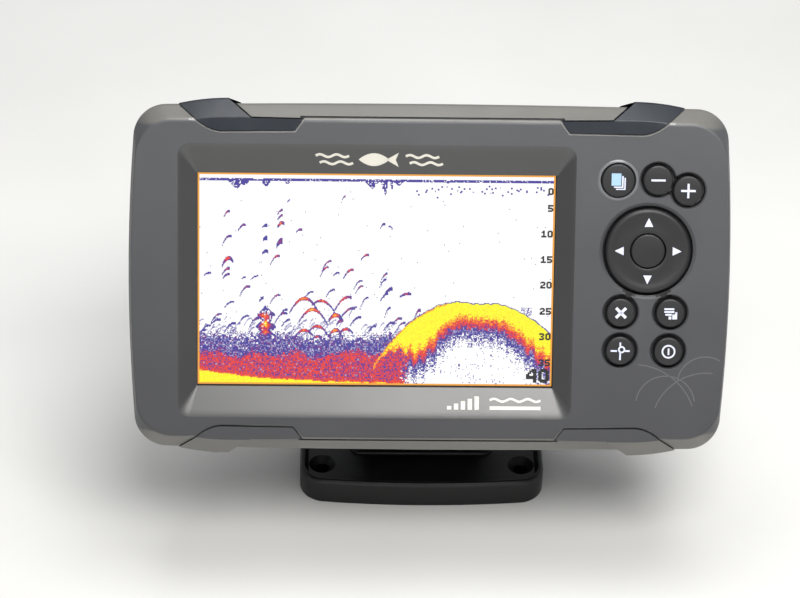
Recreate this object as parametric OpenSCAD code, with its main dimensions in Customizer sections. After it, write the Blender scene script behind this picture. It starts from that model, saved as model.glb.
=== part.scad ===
// Compact fish finder: a five inch sonar display with a keypad, on a tilting
// quick-release bracket. Millimetres. The origin is the centre of the bracket
// base's underside, +Z is up, -Y is the user's side and +X the user's right.
// The display unit is drawn upright in its own frame: X from its middle, Z from
// its mid-height, Y = 0 on its face and growing towards its back. lean() then
// puts it on the bracket's pivot.

/* [Body] */
// Width of the display unit's case
case_w = 182.7; // [182:0.1:186]
// Height of the case between the corner clips
case_h = 106.3; // [106:0.1:109]
// Radius of the case's corners
case_r = 10; // [9:0.5:11]
// Depth where the front bezel meets the seal
bezel_depth = 19.4; // [18:0.2:19.4]
// Height the corner clips stand proud of the case edge
clip_proud = 1.3; // [0.8:0.1:1.8]

/* [Screen] */
// Width of the lit picture
screen_w = 108; // [106:0.5:109]
// Height of the lit picture
screen_h = 64.8; // [63:0.2:66]
// Depth of the sloped surround
surround_depth = 2.8; // [2:0.1:2.9]

/* [Keys] */
// Diameter of the small keys
key_d = 8.65; // [8:0.05:9]
// Diameter of the pages key
pages_d = 10; // [9:0.1:10.2]
// Diameter of the cursor pad
pad_d = 25.7; // [25:0.1:25.9]
// Diameter of the enter key
enter_d = 10.3; // [9.5:0.1:10.4]
// How far the keys stand proud of the face
key_proud = 0.9; // [0.4:0.1:1.2]

/* [Bracket] */
// Width of the bracket base
base_w = 79.5; // [78:0.5:86]
// Depth of the bracket base
base_d = 74; // [74:1:80]
// Height of the bracket base's rim
base_t = 9.5; // [9:0.1:10]
// Height of the tilt pivot above the base's underside
pivot_z = 25; // [25:0.5:30]
// Backward lean of the display unit at rest, in degrees
lean_deg = 30; // [0:1:50]

/* [Hidden] */
$fn = 72;

// Colours shared by several pieces
bracket_black = [0.11, 0.11, 0.125];
key_grey = [0.24, 0.24, 0.245];
clip_top_grey = [0.25, 0.27, 0.30];
clip_bottom_grey = [0.30, 0.30, 0.31];
ribbon_amber = [0.7, 0.45, 0.15];
socket_black = [0.1, 0.1, 0.11];
pin_gold = [0.85, 0.7, 0.35];

// Case
half_w = case_w / 2;
half_h = case_h / 2;
chamfer_y = 5.2;            // depth of the front edge chamfer
chamfer_z = 4.5;            // its height at top and bottom
chamfer_x = 1.6;            // its width at the sides
bow_x = 1.6;                // how far the sides bow out between the corners
bow_z = 0.75;               // and the top and bottom
wall = 2.4;
taper_y = 24;               // depth where the rear cover starts to taper faster
cover_y = bezel_depth + 1.2; // front of the rear cover, behind the seal
back_y = 34;                // the rear cover's flat back
block_y = 50;               // back of the raised block
block_w = 116;
block_h = 80;
boss_y = 2.5;               // front of the bosses inside the bezel

// Screen, centred on screen_at = [x, z], and the layers behind it
screen_at = [-16.4, -0.5];
surround_front = [59.4, 41.2]; // half width and height of the surround at the face
surround_back = [54.2, 32.6];  // and at its full depth
window_size = [112.4, 70.4];
window_y = 3.2;
gasket_y = 4.4;
lcd_y = 5;
lcd_back = 8.5;
plate_y = 9;
plate_back = 10;
board_y = 14;
board_back = 15.6;

// Layers behind the keys
guide_y = 5;
mat_y = 5.9;
dome_y = 6.75;
keypad_y = 7.2;
rocker_y = 2.9;             // depth of the rocker's pins

// Corner clips, measured on the top left one
clip_y = bezel_depth - 0.6; // back edge
clip_edge_z = half_h + clip_proud;
clip_face_z = half_h - 4.6 + clip_proud * 0.5;
clip_peg = [-48, half_h - 6.2];
clip_turn = [-65, 0, clip_edge_z]; // where the outer end starts to run down

// Bracket
pivot_y = -4.5;
pivot = [pivot_y, pivot_z]; // tilt pivot, [y, z]
unit_pivot = [65.2, -43.7]; // the same pivot in the unit's frame
tray_z = base_t - 2.7;      // floor of the base's sunken top
knuckle_half = 13.25;       // half width of the shoe's knuckle
cheek_in = 14;              // inner face of the base's cheeks
cheek_out = 20;
bolt_r = 3;
running_gap = 0.05;         // running clearance on a radius
shoe_y = 50.6;              // front and back of the shoe's plate
shoe_back = 60;
dovetail_neck = 19.7;       // half width of the dovetail where it is narrowest
catch_screw_at = [0, -15];

// Keys: [x, z, key radius, hole radius, flange radius]
pad_x = 65.5;
pad_z = 9.9;
small_r = key_d / 2;
PAGES = [56.0, 31.2, pages_d / 2, 5.25, 5.8];
MINUS = [68.0, 31.4, 4.45, 5.15, 5.75];
PLUS = [77.1, 28.3, 4.45, 5.15, 5.75];
ENTER = [pad_x, pad_z, enter_d / 2, 5.4, 5.8];
PAD = [pad_x, pad_z, pad_d / 2, 13.6, 14.2];
EXIT = [57.75, -9.0, small_r, 5.15, 5.6];
MENU = [72.8, -9.0, small_r, 5.15, 5.6];
WAYPOINT = [57.8, -20.7, small_r, 5.15, 5.6];
POWER = [72.5, -20.8, small_r, 5.15, 5.6];
ROUND_KEYS = [PAGES, MINUS, PLUS, EXIT, MENU, WAYPOINT, POWER];
PRESS_POINTS = concat(ROUND_KEYS, [PAD]);
// Points under the rim of the cursor pad, one for each direction
PAD_POINTS = [for (angle = [0:90:270]) on_circle(PAD, 13.2, angle)];

// Fixings, [x, z] in the unit's frame and [x, y] in the base
CASE_SCREWS = grid([-80, 80], [-41, 41]);
PLATE_SCREWS = grid([-70, 38], [-42.5, 42.5]);
BOARD_SCREWS = grid([-70, 38], [-31, 31]);
BASE_HOLES = grid([-32.5, 32.5], [-24.5, 24.5]);
GUIDE_POSTS = [[49, 20], [85, 14], [49, -26], [85, -26]];

// Rear fittings
POWER_SOCKET = [-40, -22];
SONAR_SOCKET = [40, -22];
door_hinge = [81.2, 32.5];  // [x, y]
card_x = 71;

// ---------------------------------------------------------------- helpers
function key_r(key) = key[2];
function hole_r(key) = key[3];
function flange_r(key) = key[4];
function grid(columns, rows) = [for (x = columns, z = rows) [x, z]];
function on_circle(at, radius, angle) =
    [at[0] + radius * cos(angle), at[1] + radius * sin(angle)];

// Closed outline from the half with positive x, or with a positive second coordinate
function both_x(half) =
    concat(half, [for (i = [len(half) - 1:-1:0]) [-half[i][0], half[i][1]]]);
function both_z(half) =
    concat(half, [for (i = [len(half) - 1:-1:0]) [half[i][0], -half[i][1]]]);

// Extrusions along each axis; the sketch is drawn in the other two
module along_x(x0, x1) translate([x0, 0, 0]) rotate([90, 0, 90]) linear_extrude(x1 - x0) children();
module along_y(y0, y1) translate([0, y1, 0]) rotate([90, 0, 0]) linear_extrude(y1 - y0) children();
module along_z(z0, z1) translate([0, 0, z0]) linear_extrude(z1 - z0) children();

// Cylinders along X at [y, z], along Y at [x, z] and along Z at [x, y]
module cyl_x(at, radius, x0, x1)
    translate([x0, at[0], at[1]]) rotate([0, 90, 0]) cylinder(r = radius, h = x1 - x0);
module cyl_y(at, radius, y0, y1)
    translate([at[0], y1, at[1]]) rotate([90, 0, 0]) cylinder(r = radius, h = y1 - y0);
module cyl_z(at, radius, z0, z1)
    translate([at[0], at[1], z0]) cylinder(r = radius, h = z1 - z0);
module ring_y(at, outer, inner, y0, y1) difference() {
    cyl_y(at, outer, y0, y1);
    cyl_y(at, inner, y0 - 1, y1 + 1);
}

module rounded(width, height, radius) {
    square([width - 2 * radius, height], center = true);
    square([width, height - 2 * radius], center = true);
    for (x = [-1, 1], y = [-1, 1])
        translate([x * (width / 2 - radius), y * (height / 2 - radius)]) circle(r = radius);
}

module cross(length, width) {
    square([length, width], center = true);
    square([width, length], center = true);
}

// Screw along Y with its slotted head at the back, seated at y1
module pan_screw(at, radius, y0, y1, head_r, head_h) difference() {
    union() {
        cyl_y(at, radius, y0, y1 + 0.1);
        cyl_y(at, head_r, y1, y1 + head_h);
    }
    along_y(y1 + head_h * 0.4, y1 + head_h + 1) translate(at) cross(head_r * 1.2, head_r * 0.3);
}

// The unit's frame, leaned back about the tilt pivot
module lean() translate([0, pivot_y, pivot_z]) rotate([-lean_deg, 0, 0])
    translate([0, -unit_pivot[0], -unit_pivot[1]]) children();

// ---------------------------------------------------------------- case form
// Quarter of the case's outline, from the right side to the top: round corners,
// and edges that bow out between them
function quarter(inset) = let (
    corner_x = half_w - bow_x - case_r,
    corner_z = half_h - bow_z - case_r,
    radius = case_r - inset
) concat(
    [for (z = [6, 18, 30]) [half_w - inset - bow_x * pow(z / corner_z, 2), z]],
    [for (a = [4:8.5:89]) [corner_x + radius * cos(a), corner_z + radius * sin(a)]],
    [for (x = [64, 44, 22]) [x, half_h - inset - bow_z * pow(x / corner_x, 2)]]);

// Outer form of the case between two depths
module case_form(y0, y1, inset = 0) intersection() {
    yz_top = half_h - inset;
    xy_side = half_w - inset;
    along_y(y0, y1) polygon(both_z(both_x(quarter(inset))));
    along_x(-half_w - 1, half_w + 1) polygon(both_z([
        [-0.01, yz_top - chamfer_z], [chamfer_y, yz_top],
        [taper_y, yz_top - 3.4], [back_y + 0.01, yz_top - 8.2]]));
    along_z(-half_h - 1, half_h + 1) polygon(both_x([
        [xy_side - chamfer_x, -0.01], [xy_side, chamfer_y],
        [xy_side - 1.2, taper_y], [xy_side - 7.2, back_y + 0.01]]));
}

// Raised block on the rear cover, with bevelled back edges
module block_form(inset) intersection() {
    top = block_h / 2 - inset;
    side = block_w / 2 - inset;
    end_y = block_y - inset + 0.01;
    along_y(back_y - 3, block_y - inset) rounded(2 * side, 2 * top, 8 - inset);
    along_x(-half_w, half_w)
        polygon(both_z([[back_y - 4, top], [block_y - 4, top], [end_y, top - 4]]));
    along_z(-half_h, half_h)
        polygon(both_x([[side, back_y - 4], [side, block_y - 5], [side - 5, end_y]]));
}

// ---------------------------------------------------------------- corner clips
// Outline of the top left corner clip, grown by gap. Seen from the front it is a
// band that crosses the chamfer on a slant and a narrow tongue along the face.
module clip_outline(gap) polygon([
    [-76.8 - gap, half_h + 8], [-76.8 - gap, half_h],
    [-71.3 - gap, half_h - 4.1 - gap], [-67.5 - gap, half_h - 6.7 - gap],
    [-63.7 - gap, half_h - 8.2 - gap], [-41.3 + gap, half_h - 7.85 - gap],
    [-38.7 + gap * 1.4, half_h - 4.4 + gap], [-54.2 + gap, half_h - 4.2 + gap],
    [-61.0 + gap, half_h + 1], [-61.0 + gap, half_h + 8]]);

// Side view of the clip, [y, z]: proud of the case outside, let into it inside,
// and sloping down towards the back as the case does
module clip_section(gap) polygon([
    [-0.35, half_h - 10], [-0.35, clip_face_z], [4.9, clip_edge_z],
    [clip_y + gap, clip_edge_z - 2.4], [clip_y + gap, half_h - 3.6 - gap],
    [6.2, half_h - 1.3 - gap], [1.2 + gap, half_h - 5.1 - gap], [1.2 + gap, half_h - 10]]);

module clip_solid() {
    intersection() {
        along_y(-1, clip_y) clip_outline(0);
        along_x(-80, -30) clip_section(0);
        // the outer end runs down to the case's own edge
        translate(clip_turn) rotate([0, -9.7, 0]) translate(-clip_turn)
            along_x(-90, -20) polygon([
                [-2, half_h - 30], [-2, clip_face_z - 1], [-0.35, clip_face_z],
                [4.9, clip_edge_z], [clip_y + 1, clip_edge_z - 2.56], [clip_y + 1, half_h - 30]]);
    }
    cyl_y(clip_peg, 0.9, 1.1, 2.3);
}

module clip_recess() {
    intersection() {
        along_y(-1, clip_y + 0.3) clip_outline(0.28);
        along_x(-81, -29) clip_section(0.05);
    }
    cyl_y(clip_peg, 0.95, 1.1, 2.4);
}

// Moves a top left shape to the corner with the signs of x and z
module at_corner(x, z) mirror([x < 0 ? 0 : 1, 0, 0]) mirror([0, 0, z > 0 ? 0 : 1]) children();

module corner_clip_top_left() color(clip_top_grey) lean() at_corner(-1, 1) clip_solid();
module corner_clip_top_right() color(clip_top_grey) lean() at_corner(1, 1) clip_solid();
module corner_clip_bottom_left() color(clip_bottom_grey) lean() at_corner(-1, -1) clip_solid();
module corner_clip_bottom_right() color(clip_bottom_grey) lean() at_corner(1, -1) clip_solid();

// ---------------------------------------------------------------- bracket
// Plan of the base; its front edge bows towards the user
module base_plan(inset, radius) intersection() {
    bow_r = 340;
    rounded(base_w - 2 * inset, base_d - 2 * inset, radius);
    translate([0, -base_d / 2 + bow_r]) circle(r = bow_r - inset, $fn = 200);
}

module bracket_base() color(bracket_black) difference() {
    union() {
        difference() {
            along_z(0, base_t) base_plan(0, 6);
            along_z(tray_z, base_t + 1) base_plan(2.2, 4);
            // hollow underside, left solid below the pivot and round the holes
            difference() {
                along_z(-1, base_t - 5.2) base_plan(2.5, 4);
                along_z(-2, base_t) translate([0, pivot_y]) rounded(46, 34, 3);
                for (at = BASE_HOLES) cyl_z(at, 7.6, -2, base_t);
            }
        }
        along_z(base_t - 3, base_t - 1) translate([0, pivot_y]) rounded(46, 30, 3);
        // cheeks
        for (side = [0, 1]) mirror([side, 0, 0]) {
            along_x(cheek_in, cheek_out) polygon([
                [pivot_y - 12, base_t - 2], [pivot_y + 12, base_t - 2],
                [pivot_y + 10, pivot_z], [pivot_y - 10, pivot_z]]);
            cyl_x(pivot, 10, cheek_in, cheek_out);
        }
    }
    cyl_x(pivot, bolt_r + running_gap, -cheek_out - 1, cheek_out + 1);
    // countersunk fixing holes
    for (at = BASE_HOLES) {
        cyl_z(at, 2.25, -1, base_t + 1);
        translate([at[0], at[1], tray_z - 2]) cylinder(r1 = 2.2, r2 = 4.3, h = 2.05);
    }
}

module pivot_bolt() color([0.62, 0.63, 0.65]) {
    cyl_x(pivot, bolt_r, -cheek_out - 0.5, cheek_out + 6);
    // head with a hexagon socket
    difference() {
        cyl_x(pivot, 5.5, -cheek_out - 4, -cheek_out - 0.05);
        cyl_x(pivot, 2.6, -cheek_out - 4.5, -cheek_out - 1.8, $fn = 6);
    }
}

module pivot_nut() color([0.66, 0.67, 0.69]) difference() {
    cyl_x(pivot, 5.77, cheek_out + 0.05, cheek_out + 4.95, $fn = 6);
    cyl_x(pivot, bolt_r + 0.03, cheek_out - 1, cheek_out + 8);
}

module friction_washers() color([0.75, 0.73, 0.66])
    for (side = [0, 1]) mirror([side, 0, 0]) difference() {
        cyl_x(pivot, 8.5, knuckle_half + 0.02, cheek_in - 0.02);
        cyl_x(pivot, bolt_r + 0.1, 0, cheek_in + 1);
    }

// The shoe: a dovetail tongue the unit slides down onto, a back plate, and a
// knuckle that turns between the base's cheeks
module tilt_shoe() color(bracket_black) lean() difference() {
    union() {
        along_z(-38, 24)
            polygon(both_x([[22.6, 40.3], [dovetail_neck, 50], [dovetail_neck, 52]]));
        along_y(shoe_y, shoe_back) translate([0, -3.75]) rounded(48, 55.5, 6);
        along_x(-knuckle_half, knuckle_half) polygon([
            [shoe_y, -28], [shoe_back, -28], [73.2, -38.6],
            [72.2, -50.1], [shoe_back, -51.6], [shoe_y, -44]]);
        cyl_x(unit_pivot, 9.5, -knuckle_half, knuckle_half);
    }
    cyl_x(unit_pivot, bolt_r + running_gap, -2 * knuckle_half, 2 * knuckle_half);
    // pocket of the catch spring
    along_y(40, 47) translate([-8, -20]) square([16, 41]);
    // slot of the release button
    along_y(43.2, 52.6) translate([-5.3, 17.6]) square([10.6, 8]);
    along_y(52.2, 58.2) translate([-7.3, 17.6]) square([14.6, 8]);
    along_y(41.2, 44) translate([-5.3, 16.6]) square([10.6, 8]);
    // two shallow lightening pockets in the back
    for (x = [-15, 15]) along_y(57.6, 61) translate([x, -4]) rounded(10, 36, 3);
    cyl_y(catch_screw_at, 1.35, 46, 54);
}

// Leaf spring: fixed low down, with a nose that drops into the cover's notch
module catch_spring() color([0.72, 0.73, 0.75]) lean() difference() {
    along_x(-7, 7) polygon([
        [46.1, -19.5], [46.95, -19.5], [46.95, -10], [45.2, 9.5], [39.2, 10.4],
        [39.2, 11.2], [44.6, 17], [44.6, 19.6], [43.8, 19.6], [43.8, 17.3],
        [38.4, 11.6], [38.4, 10.0], [44.3, 8.8], [46.1, -10]]);
    cyl_y(catch_screw_at, 1.5, 40, 50);
}

module catch_screw() color([0.6, 0.6, 0.62]) lean() difference() {
    union() {
        cyl_y(catch_screw_at, 1.3, 46.0, 53.5);
        cyl_y(catch_screw_at, 2.6, 44.4, 46.05);
    }
    along_y(44, 45.4) translate(catch_screw_at) cross(3.2, 0.7);
}

module release_button() color([0.16, 0.16, 0.18]) lean() {
    // thumb piece with three grooves
    difference() {
        along_x(-7, 7)
            polygon([[52.5, 21], [58, 21], [58, 29], [57, 30], [53.5, 30], [52.5, 29]]);
        for (z = [25.6, 27.1, 28.6]) translate([-5.5, 57.6, z - 0.3]) cube([11, 1, 0.6]);
    }
    // arm that reaches forward over the spring
    along_x(-5, 5) polygon([
        [43.5, 21], [52.6, 21], [52.6, 23.5], [41.5, 23.5], [41.5, 20.6], [43.4, 20.1]]);
}

// ---------------------------------------------------------------- front
// Sloped surround, screen opening and window pocket, cut from the bezel
module screen_cut() translate([screen_at[0], 0, screen_at[1]]) {
    at_front = surround_front + (surround_front - surround_back) / surround_depth; // at y = -1
    intersection() {
        along_x(-80, 80)
            polygon(both_z([[-1, at_front[1]], [surround_depth, surround_back[1]]]));
        along_z(-60, 60)
            polygon(both_x([[at_front[0], -1], [surround_back[0], surround_depth]]));
    }
    along_y(surround_depth - 0.1, 6) square([screen_w + 0.4, screen_h + 0.4], center = true);
    along_y(window_y, 6) square(window_size + [0.2, 0.2], center = true);
}

module front_bezel() color([0.365, 0.372, 0.384]) lean() difference() {
    union() {
        difference() {
            case_form(0, bezel_depth);
            // cavity, stepped where the chamfer narrows the case
            along_y(2.6, 8.1) rounded(175, 94.6, 6);
            along_y(8, bezel_depth + 1) rounded(175, 96, 8);
        }
        // frame round the screen
        along_y(boss_y, 5) translate(screen_at) rounded(126, 86, 3);
        for (at = CASE_SCREWS) cyl_y(at, 3.6, boss_y, bezel_depth);
        for (at = PLATE_SCREWS) cyl_y(at, 2.8, boss_y, plate_y);
        // raised ring of the pages key
        ring_y(PAGES, 6.1, hole_r(PAGES), -0.35, 0.1);
        for (at = GUIDE_POSTS) cyl_y(at, 2.2, boss_y, guide_y);
    }
    screen_cut();
    for (key = PRESS_POINTS) cyl_y(key, hole_r(key), -1, 3.2);
    // shallow links from the cursor pad's recess to two of the keys
    for (key = [EXIT, MENU]) along_y(-1, 0.8)
        translate([pad_x + (key[0] - pad_x) * 0.63, -2.6])
            rotate(key[0] < pad_x ? 22 : -22) square([3.2, 4.4], center = true);
    for (at = CASE_SCREWS) cyl_y(at, 1.55, 7, bezel_depth + 1);
    for (at = PLATE_SCREWS) cyl_y(at, 1.3, 5, 10);
    for (x = [-1, 1], z = [-1, 1]) at_corner(x, z) clip_recess();
    // grooves along the face between the clips
    for (side = [0, 1]) mirror([0, 0, side])
        translate([-38, -0.5, half_h - 4.3]) cube([76, 1.6, 0.7]);
}

module display_window() color([0.8, 0.85, 0.9, 0.35]) lean()
    along_y(window_y, gasket_y) translate(screen_at) square(window_size, center = true);

module window_gasket() color([0.06, 0.06, 0.06]) lean()
    along_y(gasket_y, lcd_y) translate(screen_at) difference() {
        square(window_size, center = true);
        square([screen_w + 0.6, screen_h + 0.6], center = true);
    }

module lcd_panel() color([0.82, 0.84, 0.86]) lean()
    along_y(lcd_y, lcd_back) translate(screen_at) square([120.7, 75.8], center = true);

// ---------------------------------------------------------------- keys
module key_cap(key, bevel = 0.5, end_y = 3.5) {
    bevel_y = -key_proud + bevel;
    cyl_y(key, key_r(key), bevel_y, end_y);
    translate([key[0], bevel_y, key[1]]) rotate([90, 0, 0])
        cylinder(r1 = key_r(key), r2 = key_r(key) - bevel, h = bevel);
}

module round_key(key) color(key_grey) lean() {
    key_cap(key);
    cyl_y(key, flange_r(key), 2.7, 3.5);
}

// The two zoom keys stand close, so each flange is cut back towards the other
module zoom_key(key, other) color(key_grey) lean() {
    middle = (key + other) / 2;
    away = key - other;
    key_cap(key);
    intersection() {
        cyl_y(key, flange_r(key), 2.7, 3.5);
        translate([middle[0], 0, middle[1]]) rotate([0, -atan2(away[1], away[0]), 0])
            translate([0.25, 0, -20]) cube([40, 8, 40]);
    }
}

module pages_button() round_key(PAGES);
module zoom_out_button() zoom_key(MINUS, PLUS);
module zoom_in_button() zoom_key(PLUS, MINUS);
module exit_button() round_key(EXIT);
module menu_button() round_key(MENU);
module waypoint_button() round_key(WAYPOINT);
module power_button() round_key(POWER);

module enter_button() color(key_grey) lean() {
    key_cap(ENTER);
    cyl_y(ENTER, flange_r(ENTER), 2.3, 3.4);
}

// Cursor pad: a cup with a skirt, hung on the rocker by two pins up and down
module cursor_pad() color(key_grey) lean() difference() {
    union() {
        key_cap(PAD, bevel = 0.6, end_y = 3.6);
        cyl_y(PAD, flange_r(PAD), 3.5, 4.1);
    }
    cyl_y(PAD, hole_r(ENTER), -3, 5);
    cyl_y(PAD, 11.4, 1.5, 5);
    cyl_z([pad_x, rocker_y], 0.65, pad_z - 12.2, pad_z + 12.2);
}

// Rocker ring: outer pins hold the pad, inner pins sit in the key guide
module cursor_rocker() color([0.55, 0.56, 0.58]) lean() {
    ring_y(PAD, 9.8, 8.2, 2.2, 3.6);
    for (z = [pad_z - 12.1, pad_z + 9.5]) cyl_z([pad_x, rocker_y], 0.6, z, z + 2.6);
    for (x = [pad_x - 8.5, pad_x + 6.3]) cyl_x([rocker_y, pad_z], 0.6, x, x + 2.2);
}

// Plan shared by the key guide, the mat and the keypad board
module keypad_plan() translate([66.5, 3.75]) rounded(41, 66.5, 3);

module key_guide() color([0.7, 0.7, 0.7]) lean() difference() {
    union() {
        along_y(guide_y, 5.8) keypad_plan();
        cyl_y(PAD, 7.1, 2, 5.1);
    }
    cyl_y(PAD, 5.9, 1, 7);
    cyl_x([rocker_y, pad_z], 0.65, pad_x - 8, pad_x + 8);
    for (key = ROUND_KEYS) cyl_y(key, 2.8, 4, 7);
    for (at = PAD_POINTS) cyl_y(at, 1.2, 4, 7);
}

module keypad_mat() color([0.2, 0.2, 0.22]) lean() {
    along_y(mat_y, 6.7) keypad_plan();
    for (key = PRESS_POINTS) cyl_y(key, 2.2, 3.5, 6);
    for (at = PAD_POINTS) cyl_y(at, 0.7, 4.1, 6);
}

module dome_switches() color([0.75, 0.75, 0.77]) lean() {
    for (key = PRESS_POINTS) cyl_y(key, 2.5, dome_y, keypad_y);
    for (at = PAD_POINTS) cyl_y(at, 2, dome_y, keypad_y);
}

module keypad_board() color([0.08, 0.3, 0.16]) lean() along_y(keypad_y, 8.8) keypad_plan();

module keypad_ribbon() color(ribbon_amber) lean() along_x(52, 64) polygon([
    [8.8, -10], [11.2, -10], [11.2, -6], [board_y, -6],
    [board_y, -5.7], [10.9, -5.7], [10.9, -9.7], [8.8, -9.7]]);

// ---------------------------------------------------------------- inside
module chassis_plate() color([0.7, 0.71, 0.73]) lean() difference() {
    union() {
        along_y(plate_y, plate_back) translate([-15.5, 0]) rounded(121, 91, 3);
        for (at = BOARD_SCREWS) cyl_y(at, 2.6, 9.5, board_y);
    }
    for (at = PLATE_SCREWS) cyl_y(at, 1.4, 8, 11);
    for (at = BOARD_SCREWS) cyl_y(at, 1.3, 10.5, 15);
    // ribbon slot and a row of openings
    along_y(8, 11) translate([-16, -29]) rounded(26, 8, 2);
    for (x = [-52:16:12]) along_y(8, 11) translate([x, 6]) rounded(8, 26, 3);
}

module main_board() color([0.06, 0.28, 0.15]) lean() difference() {
    along_y(board_y, board_back) translate([4, 0]) rounded(160, 72, 3);
    for (at = BOARD_SCREWS) cyl_y(at, 1.45, 13, 17);
}

module board_screws() color([0.75, 0.75, 0.76]) lean() {
    for (at = BOARD_SCREWS) pan_screw(at, 1.25, 11, board_back, 2.4, 1.4);
    for (at = PLATE_SCREWS) pan_screw(at, 1.25, 5.5, plate_back, 2.4, 1.4);
}

module processor_shield() color([0.78, 0.79, 0.8]) lean()
    along_y(board_back, 19) translate([-14, 6]) rounded(34, 28, 1.5);

module gps_antenna() color([0.82, 0.76, 0.62]) lean()
    along_y(board_back, 20) translate([-52, 18]) rounded(25, 25, 1);

module buzzer() color([0.1, 0.1, 0.1]) lean() ring_y([24, -20], 6, 1.2, board_back, 22);

module card_socket() color([0.72, 0.73, 0.75]) lean() difference() {
    along_y(board_back, 30.6) translate([card_x, 0]) square([7, 16], center = true);
    along_y(18, 31) translate([card_x, 0]) square([1.2, 11.6], center = true);
}

module lcd_ribbon() color(ribbon_amber) lean()
    along_y(lcd_back, board_y) translate([-16, -30]) square([18, 0.3], center = true);

// ---------------------------------------------------------------- rear
module rear_cover() color([0.13, 0.13, 0.14]) lean() difference() {
    union() {
        difference() {
            union() {
                case_form(cover_y, back_y);
                block_form(0);
            }
            case_form(cover_y - 1, back_y - 2.6, wall);
            block_form(wall);
        }
        // floor, upper end and side walls of the dovetail channel
        along_z(-39.5, 32) translate([-27, 35.6]) square([54, 10]);
        along_z(28, 32) translate([-27, 35.6]) square([54, 13]);
        for (x = [-24.5, 24.5]) along_z(-39.5, 32) translate([x - 2.5, 35.6]) square([5, 13]);
        // frame of the card door
        along_y(29, back_y) translate([71.5, 0]) square([25, 31], center = true);
        // screw pillars, kept inside the case
        for (at = CASE_SCREWS) intersection() {
            cyl_y(at, 4.6, cover_y, back_y);
            case_form(cover_y, back_y, 0.5);
        }
    }
    // dovetail channel, open at its lower end
    along_z(-60, 28) polygon(both_x([[23, 40], [dovetail_neck, 51]]));
    // notch of the catch
    along_y(38.1, 41) translate([-8, 9.6]) square([16, 7.4]);
    // screw holes and their counterbores
    for (at = CASE_SCREWS) {
        cyl_y(at, 1.6, 15, 40);
        cyl_y(at, 3.3, 31, 40);
    }
    // card door: recess, hinge recess, opening, finger notch and pin hole
    along_y(32.1, 36) translate([61.7, -12.3]) square([18, 24.6]);
    along_y(30.9, 36) translate([79.4, -12.3]) square([3.8, 24.6]);
    along_y(28, 36) translate([card_x, 0]) square([12, 19], center = true);
    along_y(31, 36) translate([60.4, 0]) square([3.4, 7], center = true);
    cyl_z(door_hinge, 0.8, -14, 14);
    for (at = [POWER_SOCKET, SONAR_SOCKET]) cyl_y(at, 8.1, 44, 52);
}

module case_seal() color([0.05, 0.05, 0.05]) lean() difference() {
    case_form(bezel_depth + 0.02, cover_y - 0.02, 0.5);
    along_y(bezel_depth - 1, cover_y + 1) rounded(175, 95, 7);
}

module case_screws() color([0.7, 0.7, 0.71]) lean()
    for (at = CASE_SCREWS) pan_screw(at, 1.5, 8, 31, 2.8, 2);

module card_door() color([0.12, 0.12, 0.13]) lean() difference() {
    union() {
        along_y(32.2, back_y) translate([61.9, -12.1]) square([18.2, 24.2]);
        // two hinge knuckles and their links
        for (z = [-12.1, 4.1]) {
            cyl_z(door_hinge, 1.4, z, z + 8);
            along_y(32.2, 33.6) translate([79.9, z]) square([1.2, 8]);
        }
    }
    cyl_z(door_hinge, 0.8, -20, 20);
    along_y(33.3, 35) translate([64, 0]) square([1.6, 14], center = true);
}

module door_pin() color([0.7, 0.7, 0.72]) lean() cyl_z(door_hinge, 0.75, -13.9, 13.9);

module socket(at) difference() {
    union() {
        cyl_y(at, 8, 40, 54);
        cyl_y(at, 10, 50.8, 52.4);
        // clamp nut inside the cover
        cyl_y(at, 10.5, 44.1, 47.5, $fn = 6);
    }
    cyl_y(at, 6.4, 42, 55);
    // keyway
    along_y(50, 55) translate(at + [0, 6.6]) square([2.4, 2.4], center = true);
}

module pins(at, count) for (i = [0:count - 1])
    cyl_y(on_circle(at, 3.4, 360 * i / count + 90), 0.6, 42, 50.5);

module power_socket() color(socket_black) lean() socket(POWER_SOCKET);
module power_pins() color(pin_gold) lean() pins(POWER_SOCKET, 4);
module sonar_socket() color(socket_black) lean() socket(SONAR_SOCKET);
module sonar_pins() color(pin_gold) lean() pins(SONAR_SOCKET, 7);
module socket_seals() color([0.04, 0.04, 0.04]) lean()
    for (at = [POWER_SOCKET, SONAR_SOCKET]) ring_y(at, 9.6, 8.15, 50.02, 50.78);

bracket_base();
pivot_bolt();
pivot_nut();
friction_washers();
tilt_shoe();
catch_spring();
catch_screw();
release_button();
front_bezel();
corner_clip_top_left();
corner_clip_top_right();
corner_clip_bottom_left();
corner_clip_bottom_right();
rear_cover();
case_seal();
case_screws();
display_window();
window_gasket();
lcd_panel();
chassis_plate();
main_board();
board_screws();
processor_shield();
gps_antenna();
buzzer();
card_socket();
card_door();
door_pin();
key_guide();
keypad_mat();
keypad_board();
dome_switches();
keypad_ribbon();
lcd_ribbon();
power_socket();
power_pins();
sonar_socket();
sonar_pins();
socket_seals();
pages_button();
zoom_out_button();
zoom_in_button();
enter_button();
exit_button();
menu_button();
waypoint_button();
power_button();
cursor_pad();
cursor_rocker();
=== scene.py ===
# A sonar display unit, leaned back on its tilting bracket. It faces -Y, with the screen left of
# the middle and the keys on the right; the bracket's base stands on the floor at z = 0.
# The shapes are sketched in millimetres and put in the frame, in metres, when they are finished.
import math
from collections import namedtuple

import bmesh
import bpy
import numpy as np
from mathutils import Matrix, Vector


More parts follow.
